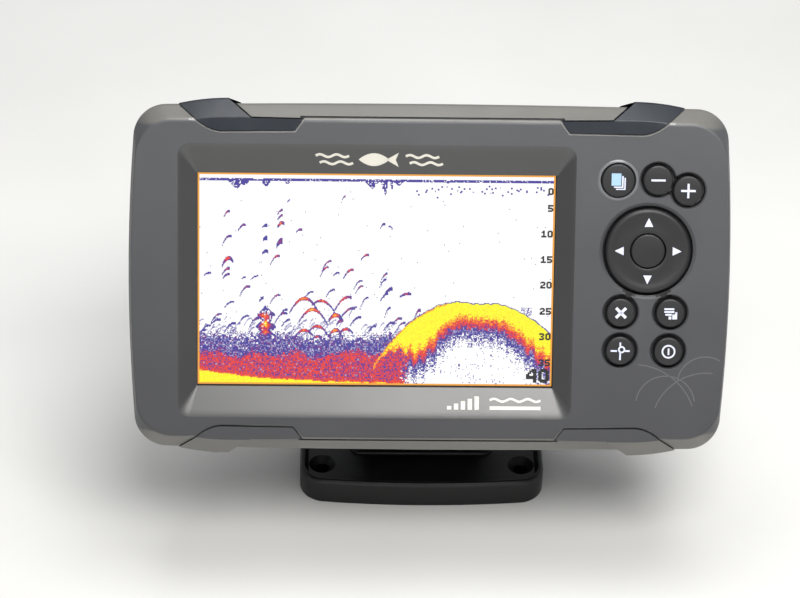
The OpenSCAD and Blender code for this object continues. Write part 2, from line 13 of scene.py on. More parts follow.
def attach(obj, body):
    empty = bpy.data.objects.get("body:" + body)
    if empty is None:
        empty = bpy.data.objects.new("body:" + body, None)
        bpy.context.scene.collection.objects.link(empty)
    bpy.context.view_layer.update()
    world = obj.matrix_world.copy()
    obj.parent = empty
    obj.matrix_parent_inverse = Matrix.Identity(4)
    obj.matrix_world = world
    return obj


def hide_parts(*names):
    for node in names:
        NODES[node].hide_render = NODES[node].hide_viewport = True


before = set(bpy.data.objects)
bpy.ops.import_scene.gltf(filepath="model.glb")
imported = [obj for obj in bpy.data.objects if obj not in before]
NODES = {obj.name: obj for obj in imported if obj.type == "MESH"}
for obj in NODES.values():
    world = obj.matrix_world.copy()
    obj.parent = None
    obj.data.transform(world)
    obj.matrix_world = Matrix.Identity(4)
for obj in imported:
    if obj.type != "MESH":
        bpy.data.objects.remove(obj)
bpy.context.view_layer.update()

# ---------------------------------------------------------------- driving dimensions, mm
# Sketches of the unit: x from its middle, y from its face towards the back, z from mid-height.
LEAN = math.radians(30)
PIVOT_Y, PIVOT_Z = -4.5, 25.0  # axis of the bracket's bolt, which runs along X
FACE_AHEAD, MID_UP = 65.2, 43.7  # the face and the mid-height, measured from the pivot
PIVOT = Vector((0, PIVOT_Y / 1000, PIVOT_Z / 1000))
UNIT = (
    Matrix.Translation(PIVOT)
    @ Matrix.Rotation(-LEAN, 4, "X")
    @ Matrix.Scale(0.001, 4)
    @ Matrix.Translation((0, -FACE_AHEAD, MID_UP))
)
UNIT_UP = (0.0, math.sin(LEAN), math.cos(LEAN))
UPRIGHT = Matrix.Scale(0.001, 4)

HALF_W, HALF_H = 91.35, 53.15  # case
BOW_X, BOW_Z, CORNER_R = 1.6, 0.75, 10.0
SEAL_Y, COVER_Y = 19.4, 20.6  # back of the bezel, front of the rear cover

SCREEN_X, SCREEN_Z = -16.4, -0.5  # centre of the screen
SURROUND_W, SURROUND_H = 59.4, 41.2  # half sizes at the outer edge of the sloped surround
SLOPE_X, SLOPE_Z, SLOPE_DEPTH = 5.2, 8.6, 2.8  # how far the slope runs inwards and back
PICTURE_W, PICTURE_H, PICTURE_Y = 54.0, 32.4, 4.98  # half sizes and depth

# centre, radius of the cap, radius of the well and radius of the hidden flange
Key = namedtuple("Key", "x z cap well flange")
KEYS = {
    "pages": Key(56.0, 31.2, 5.0, 5.25, 5.8),
    "exit": Key(57.75, -9.0, 4.325, 5.15, 5.6),
    "menu": Key(72.8, -9.0, 4.325, 5.15, 5.6),
    "waypoint": Key(57.8, -20.7, 4.325, 5.15, 5.6),
    "power": Key(72.5, -20.8, 4.325, 5.15, 5.6),
    "zoom_out": Key(68.0, 31.4, 4.45, 5.15, 4.6),
    "zoom_in": Key(77.1, 28.3, 4.45, 5.15, 4.6),
    "enter": Key(65.5, 9.9, 5.15, 5.4, 5.7),
}
PAD = Key(65.5, 9.9, 12.85, 13.6, 14.2)
ROUND_WELLS = [
    KEYS[k] for k in ("pages", "zoom_out", "zoom_in", "exit", "menu", "waypoint", "power")
]


# ---------------------------------------------------------------- shader trees
class Shader:
    """A small writer of shader trees, for a material or a world."""

    def __init__(self, owner):
        owner.use_nodes = True
        self.owner = owner
        self.tree = owner.node_tree

    def find(self, kind):
        return next(n for n in self.tree.nodes if n.type == kind)

    def add(self, kind, **settings):
        node = self.tree.nodes.new(kind)
        for name, value in settings.items():
            setattr(node, name, value)
        return node

    def link(self, a, b):
        self.tree.links.new(a, b)

    def ramp(self, fac, first, second, at=(0.3, 0.7)):
        """Blend of two colours, which stand at the given places of the factor."""
        node = self.add("ShaderNodeValToRGB")
        for element, place, colour in zip(node.color_ramp.elements, at, (first, second)):
            element.position = place
            element.color = (*colour, 1)
        self.link(fac, node.inputs["Fac"])
        return node.outputs["Color"]

    def span(self, value, low, high, over=(0.3, 0.7)):
        """Maps the range `over` of the value onto low..high."""
        node = self.add("ShaderNodeMapRange")
        node.inputs["From Min"].default_value, node.inputs["From Max"].default_value = over
        node.inputs["To Min"].default_value = low
        node.inputs["To Max"].default_value = high
        self.link(value, node.inputs["Value"])
        return node.outputs["Result"]

    def math(self, operation, *values):
        node = self.add("ShaderNodeMath", operation=operation)
        for socket, value in zip(node.inputs, values):
            if isinstance(value, (int, float)):
                socket.default_value = value
            else:
                self.link(value, socket)
        return node.outputs[0]

    def mix_into(self, output, fac, first, second):
        """Sends a mix of two shaders to the output."""
        mix = self.add("ShaderNodeMixShader")
        for socket, source in zip(mix.inputs, (fac, first, second)):
            self.link(source, socket)
        self.link(mix.outputs[0], output.inputs["Surface"])


class Surface(Shader):
    """The tree of a new material around its Principled shader."""

    def __init__(self, name):
        super().__init__(bpy.data.materials.new(name))
        self.bsdf = self.find("BSDF_PRINCIPLED")

    def set(self, **values):
        for name, value in values.items():
            self.bsdf.inputs[name.replace("_", " ")].default_value = value

    def to(self, socket, value):
        self.link(value, self.bsdf.inputs[socket])

    def coords(self, scale=(1, 1, 1)):
        source = self.add("ShaderNodeTexCoord")
        mapping = self.add("ShaderNodeMapping")
        mapping.inputs["Scale"].default_value = scale
        self.link(source.outputs["Object"], mapping.inputs["Vector"])
        return mapping.outputs["Vector"]

    def noise(self, vector, scale, detail=3.0, rough=0.55):
        node = self.add("ShaderNodeTexNoise")
        node.inputs["Scale"].default_value = scale
        node.inputs["Detail"].default_value = detail
        node.inputs["Roughness"].default_value = rough
        self.link(vector, node.inputs["Vector"])
        return node.outputs["Fac"]

    def bump(self, height, strength, distance):
        node = self.add("ShaderNodeBump")
        node.inputs["Strength"].default_value = strength
        node.inputs["Distance"].default_value = distance
        self.link(height, node.inputs["Height"])
        self.to("Normal", node.outputs["Normal"])

    def handling(self, grain=2600.0):
        """Noises of a moulding: slow colour drift, fine grain and upright smears."""
        vector = self.coords()
        slow = self.noise(vector, scale=38.0, detail=4.0, rough=0.6)
        fine = self.noise(vector, scale=grain, detail=2.0, rough=0.6)
        stretched = self.coords((1.0, 1.0, 0.35))
        return slow, fine, self.noise(stretched, scale=95.0, detail=5.0, rough=0.65)

    def worn(self, smear, fine, rough, wear=1.0):
        """Roughness that varies with the smears and the grain."""
        broad = self.span(smear, rough - 0.06 * wear, rough + 0.07 * wear)
        return self.math("ADD", broad, self.span(fine, -0.03, 0.03, over=(0, 1)))


def to_linear(values):
    """sRGB in 0..1 to linear light."""
    return np.where(values <= 0.04045, values / 12.92, ((values + 0.055) / 1.055) ** 2.4)


def srgb(r, g, b):
    return tuple(to_linear(np.array((r, g, b)) / 255))


def scaled(colour, factor):
    return tuple(c * factor for c in colour)


# ---------------------------------------------------------------- materials
def moulded(
    name, colour, rough=0.5, grain=2600.0, depth=0.00004, mottle=0.12, spec=0.5, coat=0.0, wear=1.0
):
    """Moulded plastic: fine grain of the given depth (m), colour drift, faint handling marks."""
    n = Surface(name)
    slow, fine, smear = n.handling(grain)
    n.to("Base Color", n.ramp(slow, scaled(colour, 1 - mottle), scaled(colour, 1 + mottle)))
    n.to("Roughness", n.worn(smear, fine, rough, wear))
    n.bump(fine, strength=0.55, distance=depth)
    n.set(Specular_IOR_Level=spec, Coat_Weight=coat, Coat_Roughness=0.25)
    return n.owner


def glossy(name, colour, rough, **settings):
    """Moulding with almost no grain."""
    return moulded(name, colour, rough, depth=0.00001, **settings)


def ink(name, colour, rough=0.45):
    return glossy(name, colour, rough, grain=2400.0, mottle=0.04)


def case_paint(name):
    """Case moulding: the top and bottom bevels are smoother than the face and carry a painted
    reflection, a lighter colour; the face carries painted shade towards its lower edge.
    """
    # rim is the bevels' colour, lighter than the face as a painted reflection of the bright room
    # above and in front
    face, rim = srgb(71, 72, 75), srgb(101, 100, 96)
    n = Surface(name)
    source = n.add("ShaderNodeTexCoord")

    def along_up(socket):
        dot = n.add("ShaderNodeVectorMath", operation="DOT_PRODUCT")
        n.link(socket, dot.inputs[0])
        dot.inputs[1].default_value = UNIT_UP
        return dot.outputs["Value"]

    tilt = n.math("ABSOLUTE", along_up(source.outputs["Normal"]))
    # height over the unit's middle, in metres
    middle = PIVOT.dot(Vector(UNIT_UP)) + MID_UP / 1000
    height = n.math("SUBTRACT", along_up(source.outputs["Object"]), middle)
    edge = n.span(n.math("ABSOLUTE", height), 0.0, 1.0, over=(0.0462, 0.0472))
    band = n.math("MULTIPLY", n.span(tilt, 0.0, 1.0, over=(0.30, 0.66)), edge)
    slow, fine, smear = n.handling()
    base = n.ramp(slow, scaled(face, 0.95), scaled(face, 1.05))
    # painted reflection: the bevels get the lighter rim colour
    light = n.ramp(slow, scaled(rim, 0.93), scaled(rim, 1.05))
    # painted shade: the face's colour darkens towards its lower edge, for light that falls off down
    # the face
    painted_shade_fade = n.span(height, 0.64, 0.98, over=(-0.05, 0.05))
    shade = n.add("ShaderNodeVectorMath", operation="SCALE")
    n.link(base, shade.inputs[0])
    n.link(painted_shade_fade, shade.inputs["Scale"])
    mix = n.add("ShaderNodeMix", data_type="RGBA")
    n.link(band, mix.inputs["Factor"])
    n.link(shade.outputs[0], mix.inputs[6])
    n.link(light, mix.inputs[7])
    n.to("Base Color", mix.outputs[2])
    rough = n.worn(smear, fine, rough=0.47)
    n.to("Roughness", n.math("SUBTRACT", rough, n.math("MULTIPLY", band, 0.12)))
    n.bump(fine, strength=0.5, distance=0.00004)
    n.set(Specular_IOR_Level=0.5)
    return n.owner


def metal(name, colour, rough, stretch=(1, 1, 1), grain=900.0):
    """Machined or rolled metal; stretch gives the marks their direction."""
    n = Surface(name)
    lines = n.noise(n.coords(stretch), scale=grain, detail=3.0, rough=0.7)
    slow = n.noise(n.coords(), scale=60.0, detail=3.0, rough=0.6)
    n.to("Base Color", n.ramp(slow, scaled(colour, 0.86), colour))
    n.to("Roughness", n.span(lines, rough - 0.08, rough + 0.12))
    n.bump(lines, strength=0.25, distance=0.00002)
    n.set(Metallic=1.0)
    return n.owner


def rubber(name, colour, rough):
    n = Surface(name)
    vector = n.coords()
    fine = n.noise(vector, scale=3200.0, detail=3.0, rough=0.6)
    slow = n.noise(vector, scale=80.0, detail=3.0, rough=0.6)
    n.to("Base Color", n.ramp(slow, scaled(colour, 0.8), scaled(colour, 1.5), at=(0.25, 0.75)))
    n.to("Roughness", n.span(fine, rough - 0.06, rough + 0.08))
    n.bump(fine, strength=0.4, distance=0.00003)
    return n.owner


def circuit_board():
    """Solder mask over traces along the borders of square cells."""
    n = Surface("circuit_board")
    vector = n.coords()
    cells = n.add("ShaderNodeTexVoronoi", feature="DISTANCE_TO_EDGE", distance="MANHATTAN")
    cells.inputs["Scale"].default_value = 260.0
    n.link(vector, cells.inputs["Vector"])
    distance = cells.outputs["Distance"]
    trace, mask = (0.03, 0.16, 0.07), (0.012, 0.085, 0.04)
    n.to("Base Color", n.ramp(distance, trace, mask, at=(0.03, 0.06)))
    n.to("Roughness", n.span(n.noise(vector, scale=900.0), 0.25, 0.42))
    n.bump(distance, strength=0.2, distance=0.00003)
    return n.owner


def window_glass():
    """Clear glass that mirrors a little more towards grazing angles."""
    n = Surface("window_glass_coated")
    smear = n.noise(n.coords(), scale=60.0, detail=4.0, rough=0.6)
    n.to("Roughness", n.span(smear, 0.03, 0.09))
    n.set(Base_Color=(1, 1, 1, 1), Specular_IOR_Level=0.35, IOR=1.35)
    clear = n.add("ShaderNodeBsdfTransparent")
    fresnel = n.add("ShaderNodeFresnel")
    fresnel.inputs["IOR"].default_value = 1.13
    output = n.find("OUTPUT_MATERIAL")
    n.mix_into(output, fresnel.outputs[0], clear.outputs[0], n.bsdf.outputs[0])
    return n.owner


def panel_black():
    n = Surface("panel_black_matrix")
    vector = n.coords()
    mottle = n.noise(vector, scale=400.0)
    n.to("Base Color", n.ramp(mottle, (0.008, 0.008, 0.009), (0.014, 0.014, 0.015)))
    n.to("Roughness", n.span(n.noise(vector, scale=1500.0), 0.3, 0.42))
    return n.owner


def picture_light():
    """Dark panel that glows with the picture's colours."""
    n = Surface("lit_picture_echoes")
    picture = n.add("ShaderNodeAttribute", attribute_name="picture")
    grid = n.noise(n.coords(), scale=5200.0, detail=1.0)
    n.to("Base Color", n.ramp(grid, (0.012, 0.012, 0.014), (0.02, 0.02, 0.022)))
    n.to("Emission Color", picture.outputs["Color"])
    n.set(Roughness=0.35, Emission_Strength=1.0, Specular_IOR_Level=0.25)
    return n.owner


def pale_floor():
    """Pale floor that glows more with distance from the middle."""
    n = Surface("pale_floor")
    drift = n.noise(n.coords(), scale=7.0, detail=3.0)
    n.to("Base Color", n.ramp(drift, srgb(205, 205, 203), srgb(212, 212, 210)))
    source = n.add("ShaderNodeTexCoord")
    distance = n.add("ShaderNodeVectorMath", operation="LENGTH")
    n.link(source.outputs["Object"], distance.inputs[0])
    n.set(Roughness=0.85, Specular_IOR_Level=0.1, Emission_Color=(1.0, 1.0, 0.99, 1))
    glow = n.span(distance.outputs["Value"], 0.0, 0.62, over=(0.35, 2.2))
    n.to("Emission Strength", n.math("POWER", glow, 1.0))
    return n.owner


MAT = {
    "bezel": case_paint("bezel_moulding"),
    "slope": glossy("bezel_surround", srgb(50, 50, 51), 0.32, mottle=0.05, spec=0.75, wear=0.2),
    # painted highlights for the lips of the clip seats, brighter on the top lips than on the low
    # ones
    "lip_highlight_top": glossy("seat_lip_bright", srgb(138, 138, 136), rough=0.3, mottle=0.03),
    "lip_highlight_low": glossy("seat_lip_soft", srgb(98, 98, 97), rough=0.36, mottle=0.03),
    "clip_top": moulded(
        "clip_moulding_slate", srgb(31, 36, 43), rough=0.36, mottle=0.08, spec=0.4
    ),
    # the bottom clips take the case's painted reflection on their bevels and its painted shade
    "clip_bottom": case_paint("clip_moulding_grey"),
    "cover": moulded(
        "cover_moulding", srgb(44, 45, 48), rough=0.52, grain=1700.0, depth=0.00008, mottle=0.07
    ),
    "bracket": moulded(
        "bracket_moulding", srgb(13, 13, 15), rough=0.36, grain=1500.0, depth=0.00006, spec=0.4
    ),
    "key": moulded(
        "key_moulding", srgb(28, 28, 30), rough=0.44, grain=3200.0, depth=0.00002, mottle=0.06,
        spec=0.45,
    ),
    # painted shade: near-black for the insides of the wells and the link spots, where shade falls
    "gap": moulded("gap_shadow_plastic", srgb(16, 16, 17), rough=0.6),
    "ring": glossy("key_ring_plastic", srgb(104, 105, 108), rough=0.24, mottle=0.05, coat=0.5),
    "legend": ink("legend_ink", srgb(205, 209, 226)),
    "mark": ink("mark_ink", srgb(206, 203, 192), rough=0.4),
    "legend_blue": ink("legend_ink_blue", srgb(150, 182, 214)),
    "ripple": ink("ripple_ink", srgb(88, 89, 92), rough=0.36),
    "steel": metal("fastener_steel", (0.56, 0.57, 0.58), rough=0.3),
    "tin": metal("tin_plate", (0.62, 0.63, 0.64), rough=0.34, stretch=(1, 12, 1), grain=420.0),
    "gold": metal("gold_plate", (0.83, 0.62, 0.27), rough=0.22),
    "rubber": rubber("seal_rubber", (0.012, 0.012, 0.013), rough=0.72),
    "mat": rubber("keypad_rubber", (0.05, 0.05, 0.055), rough=0.6),
    "board": circuit_board(),
    "guide": moulded("guide_moulding", srgb(165, 165, 163), rough=0.5),
    "black": moulded("connector_moulding", srgb(24, 24, 26), rough=0.38, grain=2000.0),
    "ceramic": moulded("ceramic_patch", srgb(186, 172, 140), rough=0.6, grain=1800.0),
    "ribbon": moulded("ribbon_film", srgb(176, 118, 48), rough=0.3, grain=1200.0),
    "washer": moulded("washer_polymer", srgb(196, 190, 170), rough=0.45),
}


# ---------------------------------------------------------------- shapes: (verts, faces)
def rounded(w, h, r, y, cx, cz, steps):
    """Loop of a rounded rectangle in the XZ plane at depth y, with half sizes w and h."""
    points = []
    for qx, qz, start in ((1, 1, 0), (-1, 1, 90), (-1, -1, 180), (1, -1, 270)):
        for i in range(steps + 1):
            a = math.radians(start + 90 * i / steps)
            x = cx + qx * (w - r) + r * math.cos(a)
            points.append((x, y, cz + qz * (h - r) + r * math.sin(a)))
    return points


def loft(loops, caps_first=False):
    """Quads between loops of equal length, closed by a cap at each end."""
    n, rows = len(loops[0]), len(loops)
    sides = []
    for a in range(0, (rows - 1) * n, n):
        for i in range(n):
            j = (i + 1) % n
            sides.append((a + i, a + n + i, a + n + j, a + j))
    caps = [tuple(range(n)), tuple(reversed(range((rows - 1) * n, rows * n)))]
    return [p for loop in loops for p in loop], caps + sides if caps_first else sides + caps


def stack(rows, steps, cx=0.0, cz=0.0):
    """Loft through rounded rectangles: rows are half width, half height, radius, y."""
    return loft([rounded(*row, cx, cz, steps) for row in rows])


def prism(points, low, high, axis="y"):
    """Extrudes a sketch along an axis: 'y' takes (x, z), 'x' takes (y, z), 'z' takes (x, y)."""
    place = {
        "x": lambda a, b, t: (t, a, b),
        "y": lambda a, b, t: (a, t, b),
        "z": lambda a, b, t: (a, b, t),
    }[axis]
    return loft([[place(*p, t) for p in points] for t in (low, high)], caps_first=True)


def rect(x0, z0, x1, z1):
    return [(x0, z0), (x1, z0), (x1, z1), (x0, z1)]


def lathe(profile, cx, cz, steps=96):
    """Solid turned about Y at (cx, cz): profile is (radius, y); without ends on the axis it is
    closed into a ring."""
    verts, rows, faces = [], [], []
    for r, y in profile:
        first = len(verts)
        if r == 0:
            verts.append((cx, y, cz))
        else:
            for i in range(steps):
                a = 2 * math.pi * i / steps
                verts.append((cx + r * math.cos(a), y, cz + r * math.sin(a)))
        rows.append(range(first, len(verts)))
    pairs = list(zip(rows, rows[1:]))
    if len(rows[0]) > 1 and len(rows[-1]) > 1:
        pairs.append((rows[-1], rows[0]))
    for a, b in pairs:
        for i in range(steps):
            j = (i + 1) % steps
            if len(a) == 1:
                faces.append((a[0], b[i], b[j]))
            elif len(b) == 1:
                faces.append((a[i], b[0], a[j]))
            else:
                faces.append((a[i], b[i], b[j], a[j]))
    return verts, faces


def cylinder(r, low, high, cx, cz, steps):
    return lathe([(0, low), (r, low), (r, high), (0, high)], cx, cz, steps)


def turned_to_z(shape):
    """Lays a shape made along Y along Z: its z becomes y."""
    return [(x, z, y) for x, y, z in shape[0]], shape[1]


def turned_to_x(shape):
    """Lays a shape made along Y along X: its x becomes y."""
    return [(y, x, z) for x, y, z in shape[0]], shape[1]


def mirrored(shape, sx, sz):
    return [(x * sx, y, z * sz) for x, y, z in shape[0]], shape[1]


# ---------------------------------------------------------------- mesh objects
def mesh_object(name, verts, faces):
    mesh = bpy.data.meshes.new(name)
    mesh.from_pydata(verts, [], faces)
    mesh.update()
    o = bpy.data.objects.new(name, mesh)
    bpy.context.scene.collection.objects.link(o)
    return o


def clean(o, merge=0.0):
    """Turns the faces outwards, after welding points nearer than merge and dropping slivers."""
    bm = bmesh.new()
    bm.from_mesh(o.data)
    if merge:
        bmesh.ops.remove_doubles(bm, verts=bm.verts, dist=merge)
        bmesh.ops.dissolve_degenerate(bm, edges=bm.edges, dist=merge)
    bmesh.ops.recalc_face_normals(bm, faces=bm.faces)
    bm.to_mesh(o.data)
    bm.free()
    return o


def tidy(o):
    return clean(o, merge=0.0005)


def solid(shape, *materials):
    o = mesh_object("tmp", *shape)
    for material in materials:
        o.data.materials.append(material)
    return clean(o)


def boolean(o, operation, shapes):
    """Applies each shape, a (verts, faces) pair or an object, to o's mesh."""
    for shape in shapes:
        cutter = shape if isinstance(shape, bpy.types.Object) else solid(shape)
        modifier = o.modifiers.new("boolean", "BOOLEAN")
        modifier.operation, modifier.solver, modifier.object = operation, "EXACT", cutter
        depsgraph = bpy.context.evaluated_depsgraph_get()
        mesh = bpy.data.meshes.new_from_object(o.evaluated_get(depsgraph), depsgraph=depsgraph)
        o.modifiers.clear()
        old = o.data
        o.data = mesh
        bpy.data.meshes.remove(old)
        bpy.data.objects.remove(cutter)


def cut(o, *shapes):
    boolean(o, "DIFFERENCE", shapes)


def fuse(o, *shapes):
    boolean(o, "UNION", shapes)


def keep_inside(o, shape):
    boolean(o, "INTERSECT", [shape])


def join(objects):
    """Joins meshes into the first object, keeping each one's materials."""
    base = objects[0]
    bm = bmesh.new()
    materials = []
    for o in objects:
        slots = []
        for material in o.data.materials:
            if material not in materials:
                materials.append(material)
            slots.append(materials.index(material))
        start = len(bm.faces)
        bm.from_mesh(o.data)
        bm.faces.ensure_lookup_table()
        for face in bm.faces[start:]:
            face.material_index = slots[face.material_index]
    mesh = bpy.data.meshes.new(base.name)
    bm.to_mesh(mesh)
    bm.free()
    for material in materials:
        mesh.materials.append(material)
    base.data = mesh
    for o in objects[1:]:
        bpy.data.objects.remove(o)
    return base


def round_edges(o, radius, segments, angle):
    modifier = o.modifiers.new("edge_radius", "BEVEL")
    modifier.width, modifier.segments = radius / 1000, segments
    modifier.limit_method, modifier.angle_limit = "ANGLE", math.radians(angle)
    return modifier


def flatten_shading(o):
    modifier = o.modifiers.new("flat_shading", "WEIGHTED_NORMAL")
    modifier.keep_sharp = True
    return modifier


def finish_piece(o, name, body, nodes=(), place=UNIT, bevel=0.0, segments=3, angle=35):
    """Puts a finished sketch in the frame, rounds its edges and says what it stands for."""
    o.name = name
    mesh = o.data
    mesh.name = name
    mesh.transform(place)
    mesh.update()
    mesh.polygons.foreach_set("use_smooth", [True] * len(mesh.polygons))
    mesh.set_sharp_from_angle(angle=math.radians(32))
    if bevel:
        round_edges(o, bevel, segments, angle).miter_outer = "MITER_ARC"
    flatten_shading(o).weight = 80
    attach(o, body)
    if nodes:
        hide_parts(*nodes)


def raised_print(outlines, y, material, thick):
    """A thin print: each (x, z) outline is closed and simple."""
    parts = []
    for s in outlines:
        area = sum(a[0] * b[1] - b[0] * a[1] for a, b in zip(s, s[1:] + s[:1]))
        parts.append(solid(prism(s if area > 0 else s[::-1], y, y + thick), material))
    return join(parts)


# ---------------------------------------------------------------- case outline
def bowed(w, h, bow_x, bow_z, r, side=14, corner=20, top=16):
    """Outline with round corners, and edges that bow out by bow_x and bow_z between them.
    The last three arguments count the steps along each part of a quarter."""
    core_x, core_z = w - bow_x - r, h - bow_z - r
    start = math.atan(2 * bow_x / core_z)
    end = math.pi / 2 - math.atan(2 * bow_z / core_x)
    side_z = core_z + r * math.sin(start)
    quarter = [
        (w - bow_x * (side_z * i / side / core_z) ** 2, side_z * i / side) for i in range(side)
    ]
    for i in range(corner + 1):
        a = start + (end - start) * i / corner
        quarter.append((core_x + r * math.cos(a), core_z + r * math.sin(a)))
    top_x = core_x + r * math.cos(end)
    for i in range(1, top + 1):
        x = top_x * (1 - i / top)
        quarter.append((x, h - bow_z * (x / core_x) ** 2))
    return (
        quarter
        + [(-x, z) for x, z in reversed(quarter[:-1])]
        + [(-x, -z) for x, z in quarter[1:]]
        + [(x, -z) for x, z in reversed(quarter[1:-1])]
    )


OUTER = bowed(HALF_W, HALF_H, BOW_X, BOW_Z, CORNER_R)
FACE_RIM = bowed(90.2, 48.25, 1.4, 0.2, 11.3)


def case_at(y, f=1.0, inset=0.0):
    """Loop of the case at depth y: f runs from 0 on the face's rim to 1 on the widest outline."""
    draft = max(0.0, y - 5.6) / 18.4
    kx = 1 - (1.2 * draft + inset) / HALF_W
    kz = 1 - (3.4 * draft + inset) / HALF_H
    return [
        ((a + (c - a) * f) * kx, y, (b + (d - b) * f) * kz)
        for (a, b), (c, d) in zip(FACE_RIM, OUTER)
    ]


def bezel_solid():
    # y, fraction from the face's rim to the widest outline
    rows = [(0.0, -0.13), (0.015, -0.08), (0.09, -0.01), (0.26, 0.06)]
    rows += [(y, 0.02 + 0.98 * y / 5.2) for y in (0.6, 1.2, 2.0, 3.0, 4.0)]
    rows += [(4.55, 0.875), (4.95, 0.94), (5.4, 0.982)]
    rows += [(y, 1.0) for y in (5.9, 7.0, 12.0, SEAL_Y - 0.35)]
    back = [case_at(SEAL_Y - 0.1, inset=0.1), case_at(SEAL_Y, inset=0.32)]
    return loft([case_at(*row) for row in rows] + back)


# ---------------------------------------------------------------- corner clips
# Face outline of the top left clip: x, z from the case's top edge
CLIP_OUTLINE = [
    (-80, 8), (-79.5, 1.9), (-76.8, 0), (-71.3, -4.1), (-69.6, -5.5), (-67.6, -6.8),
    (-65.6, -7.65), (-64.2, -8.0), (-63.0, -8.12), (-41.3, -7.85), (-38.7, -4.4),
    (-54.2, -4.2), (-61.0, 1), (-61.0, 8),
]
CLIP_OUTLINE = [(x, HALF_H + z) for x, z in CLIP_OUTLINE]
# Side view: y, z from the case's top edge; the outer line, then the inner one back again
CLIP_FACE = [
    (-0.35, -4.15), (-0.22, -3.88), (4.45, 0.86), (4.95, 1.2), (5.6, 1.24), (12.0, 0.08),
    (SEAL_Y - 0.9, -1.12), (SEAL_Y - 0.6, -1.3),
]
CLIP_BACK = [(SEAL_Y - 0.6, -3.6), (6.2, -1.3), (1.2, -5.1), (1.2, -10)]
SEAT_BACK = [(SEAL_Y - 0.3, -3.65), (6.2, -1.35), (1.25, -5.15), (1.25, -10)]
CLIP_STATIONS = (-30, -38, -46, -54, -59, -61, -63, -65, -67, -69, -71, -73, -75, -77, -79, -82)


def offset_outline(points, gap):
    """An anticlockwise outline moved outwards by gap."""
    out = []
    for i, p in enumerate(points):
        before, here, after = Vector(points[i - 1]), Vector(p), Vector(points[(i + 1) % len(points)])
        a, b = (here - before).normalized(), (after - here).normalized()
        normal = Vector((a.y, -a.x))
        middle = (normal + Vector((b.y, -b.x))).normalized()
        k = gap / middle.dot(normal)
        out.append((here.x + middle.x * k, here.y + middle.y * k))
    return out


def clip_sweep(front, back, lift):
    """The clip's side view carried along the edge; its outer end runs down to the case."""
    loops = []
    for x in CLIP_STATIONS:
        drop = -0.0076 * max(0.0, -x - 61) ** 2
        face = [(x, y, HALF_H + z + drop + lift) for y, z in CLIP_FACE]
        inner = [(x, y, HALF_H + z) for y, z in back]
        loops.append([(x, front, HALF_H - 10)] + face + inner)
    return loft(loops, caps_first=True)


def clip_parts(sx, sz, seat=False):
    """Outline prism and swept side view of a clip, or of its looser seat in the bezel;
    sx = -1 is the left, sz = 1 the top."""
    if seat:
        outline = prism(offset_outline(CLIP_OUTLINE, 0.24), -2, SEAL_Y - 0.3)
        side = clip_sweep(front=-1.85, back=SEAT_BACK, lift=4.0)
    else:
        outline = prism(CLIP_OUTLINE, -2, SEAL_Y - 0.6)
        side = clip_sweep(front=-0.35, back=CLIP_BACK, lift=0.0)
    return mirrored(outline, -sx, sz), mirrored(side, -sx, sz)


def build_clip(sx, sz, material):
    outline, side = clip_parts(sx, sz)
    o = solid(outline, material)
    keep_inside(o, solid(side, material))
    return tidy(o)


# ---------------------------------------------------------------- front bezel
# x, z and radius of the spots where the links between wells get the gap material's painted shade
LINK_SPOTS = ((72.8, 29.8, 3.2), (59.9, -3.6, 2.4), (70.9, -3.7, 2.4))


def surround_cutter():
    """The sloped surround, from in front of the face down to the window."""
    rows = []
    for y, flare in ((-3.0, 1.7), (-0.02, 1.35), (0.02, 1.15)):
        k = (flare - 1) * 0.22
        w, h = SURROUND_W + k * SLOPE_X + 0.2, SURROUND_H + k * SLOPE_Z + 0.2
        rows.append((w, h, 3.6 + k * 3, y))
    for t in (0.06, 0.2, 0.4, 0.6, 0.8, 1.0):
        w, h = SURROUND_W - SLOPE_X * t, SURROUND_H - SLOPE_Z * t
        rows.append((w, h, 3.4 * (1 - t) + 0.35 * t, SLOPE_DEPTH * (0.03 + 0.97 * t)))
    rows.append((SURROUND_W - SLOPE_X, SURROUND_H - SLOPE_Z, 0.35, 7.0))
    return stack(rows, 10, SCREEN_X, SCREEN_Z)


def cut_wells(o):
    """Round wells: a small chamfer, then the wall."""
    for key in ROUND_WELLS:
        r = key.well
        profile = [
            (0, -2), (r + 1.05, -2), (r + 0.62, -0.02), (r + 0.42, 0.12), (r + 0.06, 0.5),
            (r, 0.75), (r, 4), (0, 4),
        ]
        cut(o, lathe(profile, key.x, key.z, 72))
    r = PAD.well
    profile = [
        (0, -2), (r + 1.9, -2), (r + 1.25, -0.02), (r + 0.95, 0.14), (r + 0.12, 0.62),
        (r, 0.95), (r, 4), (0, 4),
    ]
    cut(o, lathe(profile, PAD.x, PAD.z, 128))


def cut_links(o):
    # the wells of the two zoom keys run into each other
    low, high = KEYS["zoom_out"], KEYS["zoom_in"]
    along = Vector((high.x - low.x, high.z - low.z)).normalized()
    across = Vector((-along.y, along.x)) * 1.75
    start, end = Vector((low.x, low.z)) + along * 2.5, Vector((high.x, high.z)) - along * 2.5
    corners = [start - across, end - across, end + across, start + across]
    cut(o, prism([tuple(p) for p in corners], -1, 2.2))
    # shallow links between the cursor pad's well and two keys
    for key in (KEYS["exit"], KEYS["menu"]):
        along = Vector((key.x - PAD.x, key.z - PAD.z)).normalized()
        across = Vector((-along.y, along.x))
        middle = Vector((PAD.x, PAD.z)) + along * 14.6
        corners = ((-2.2, -1.0), (2.4, -0.8), (2.4, 0.8), (-2.2, 1.0))
        cut(o, prism([tuple(middle + along * u + across * v) for u, v in corners], -1, 0.75))


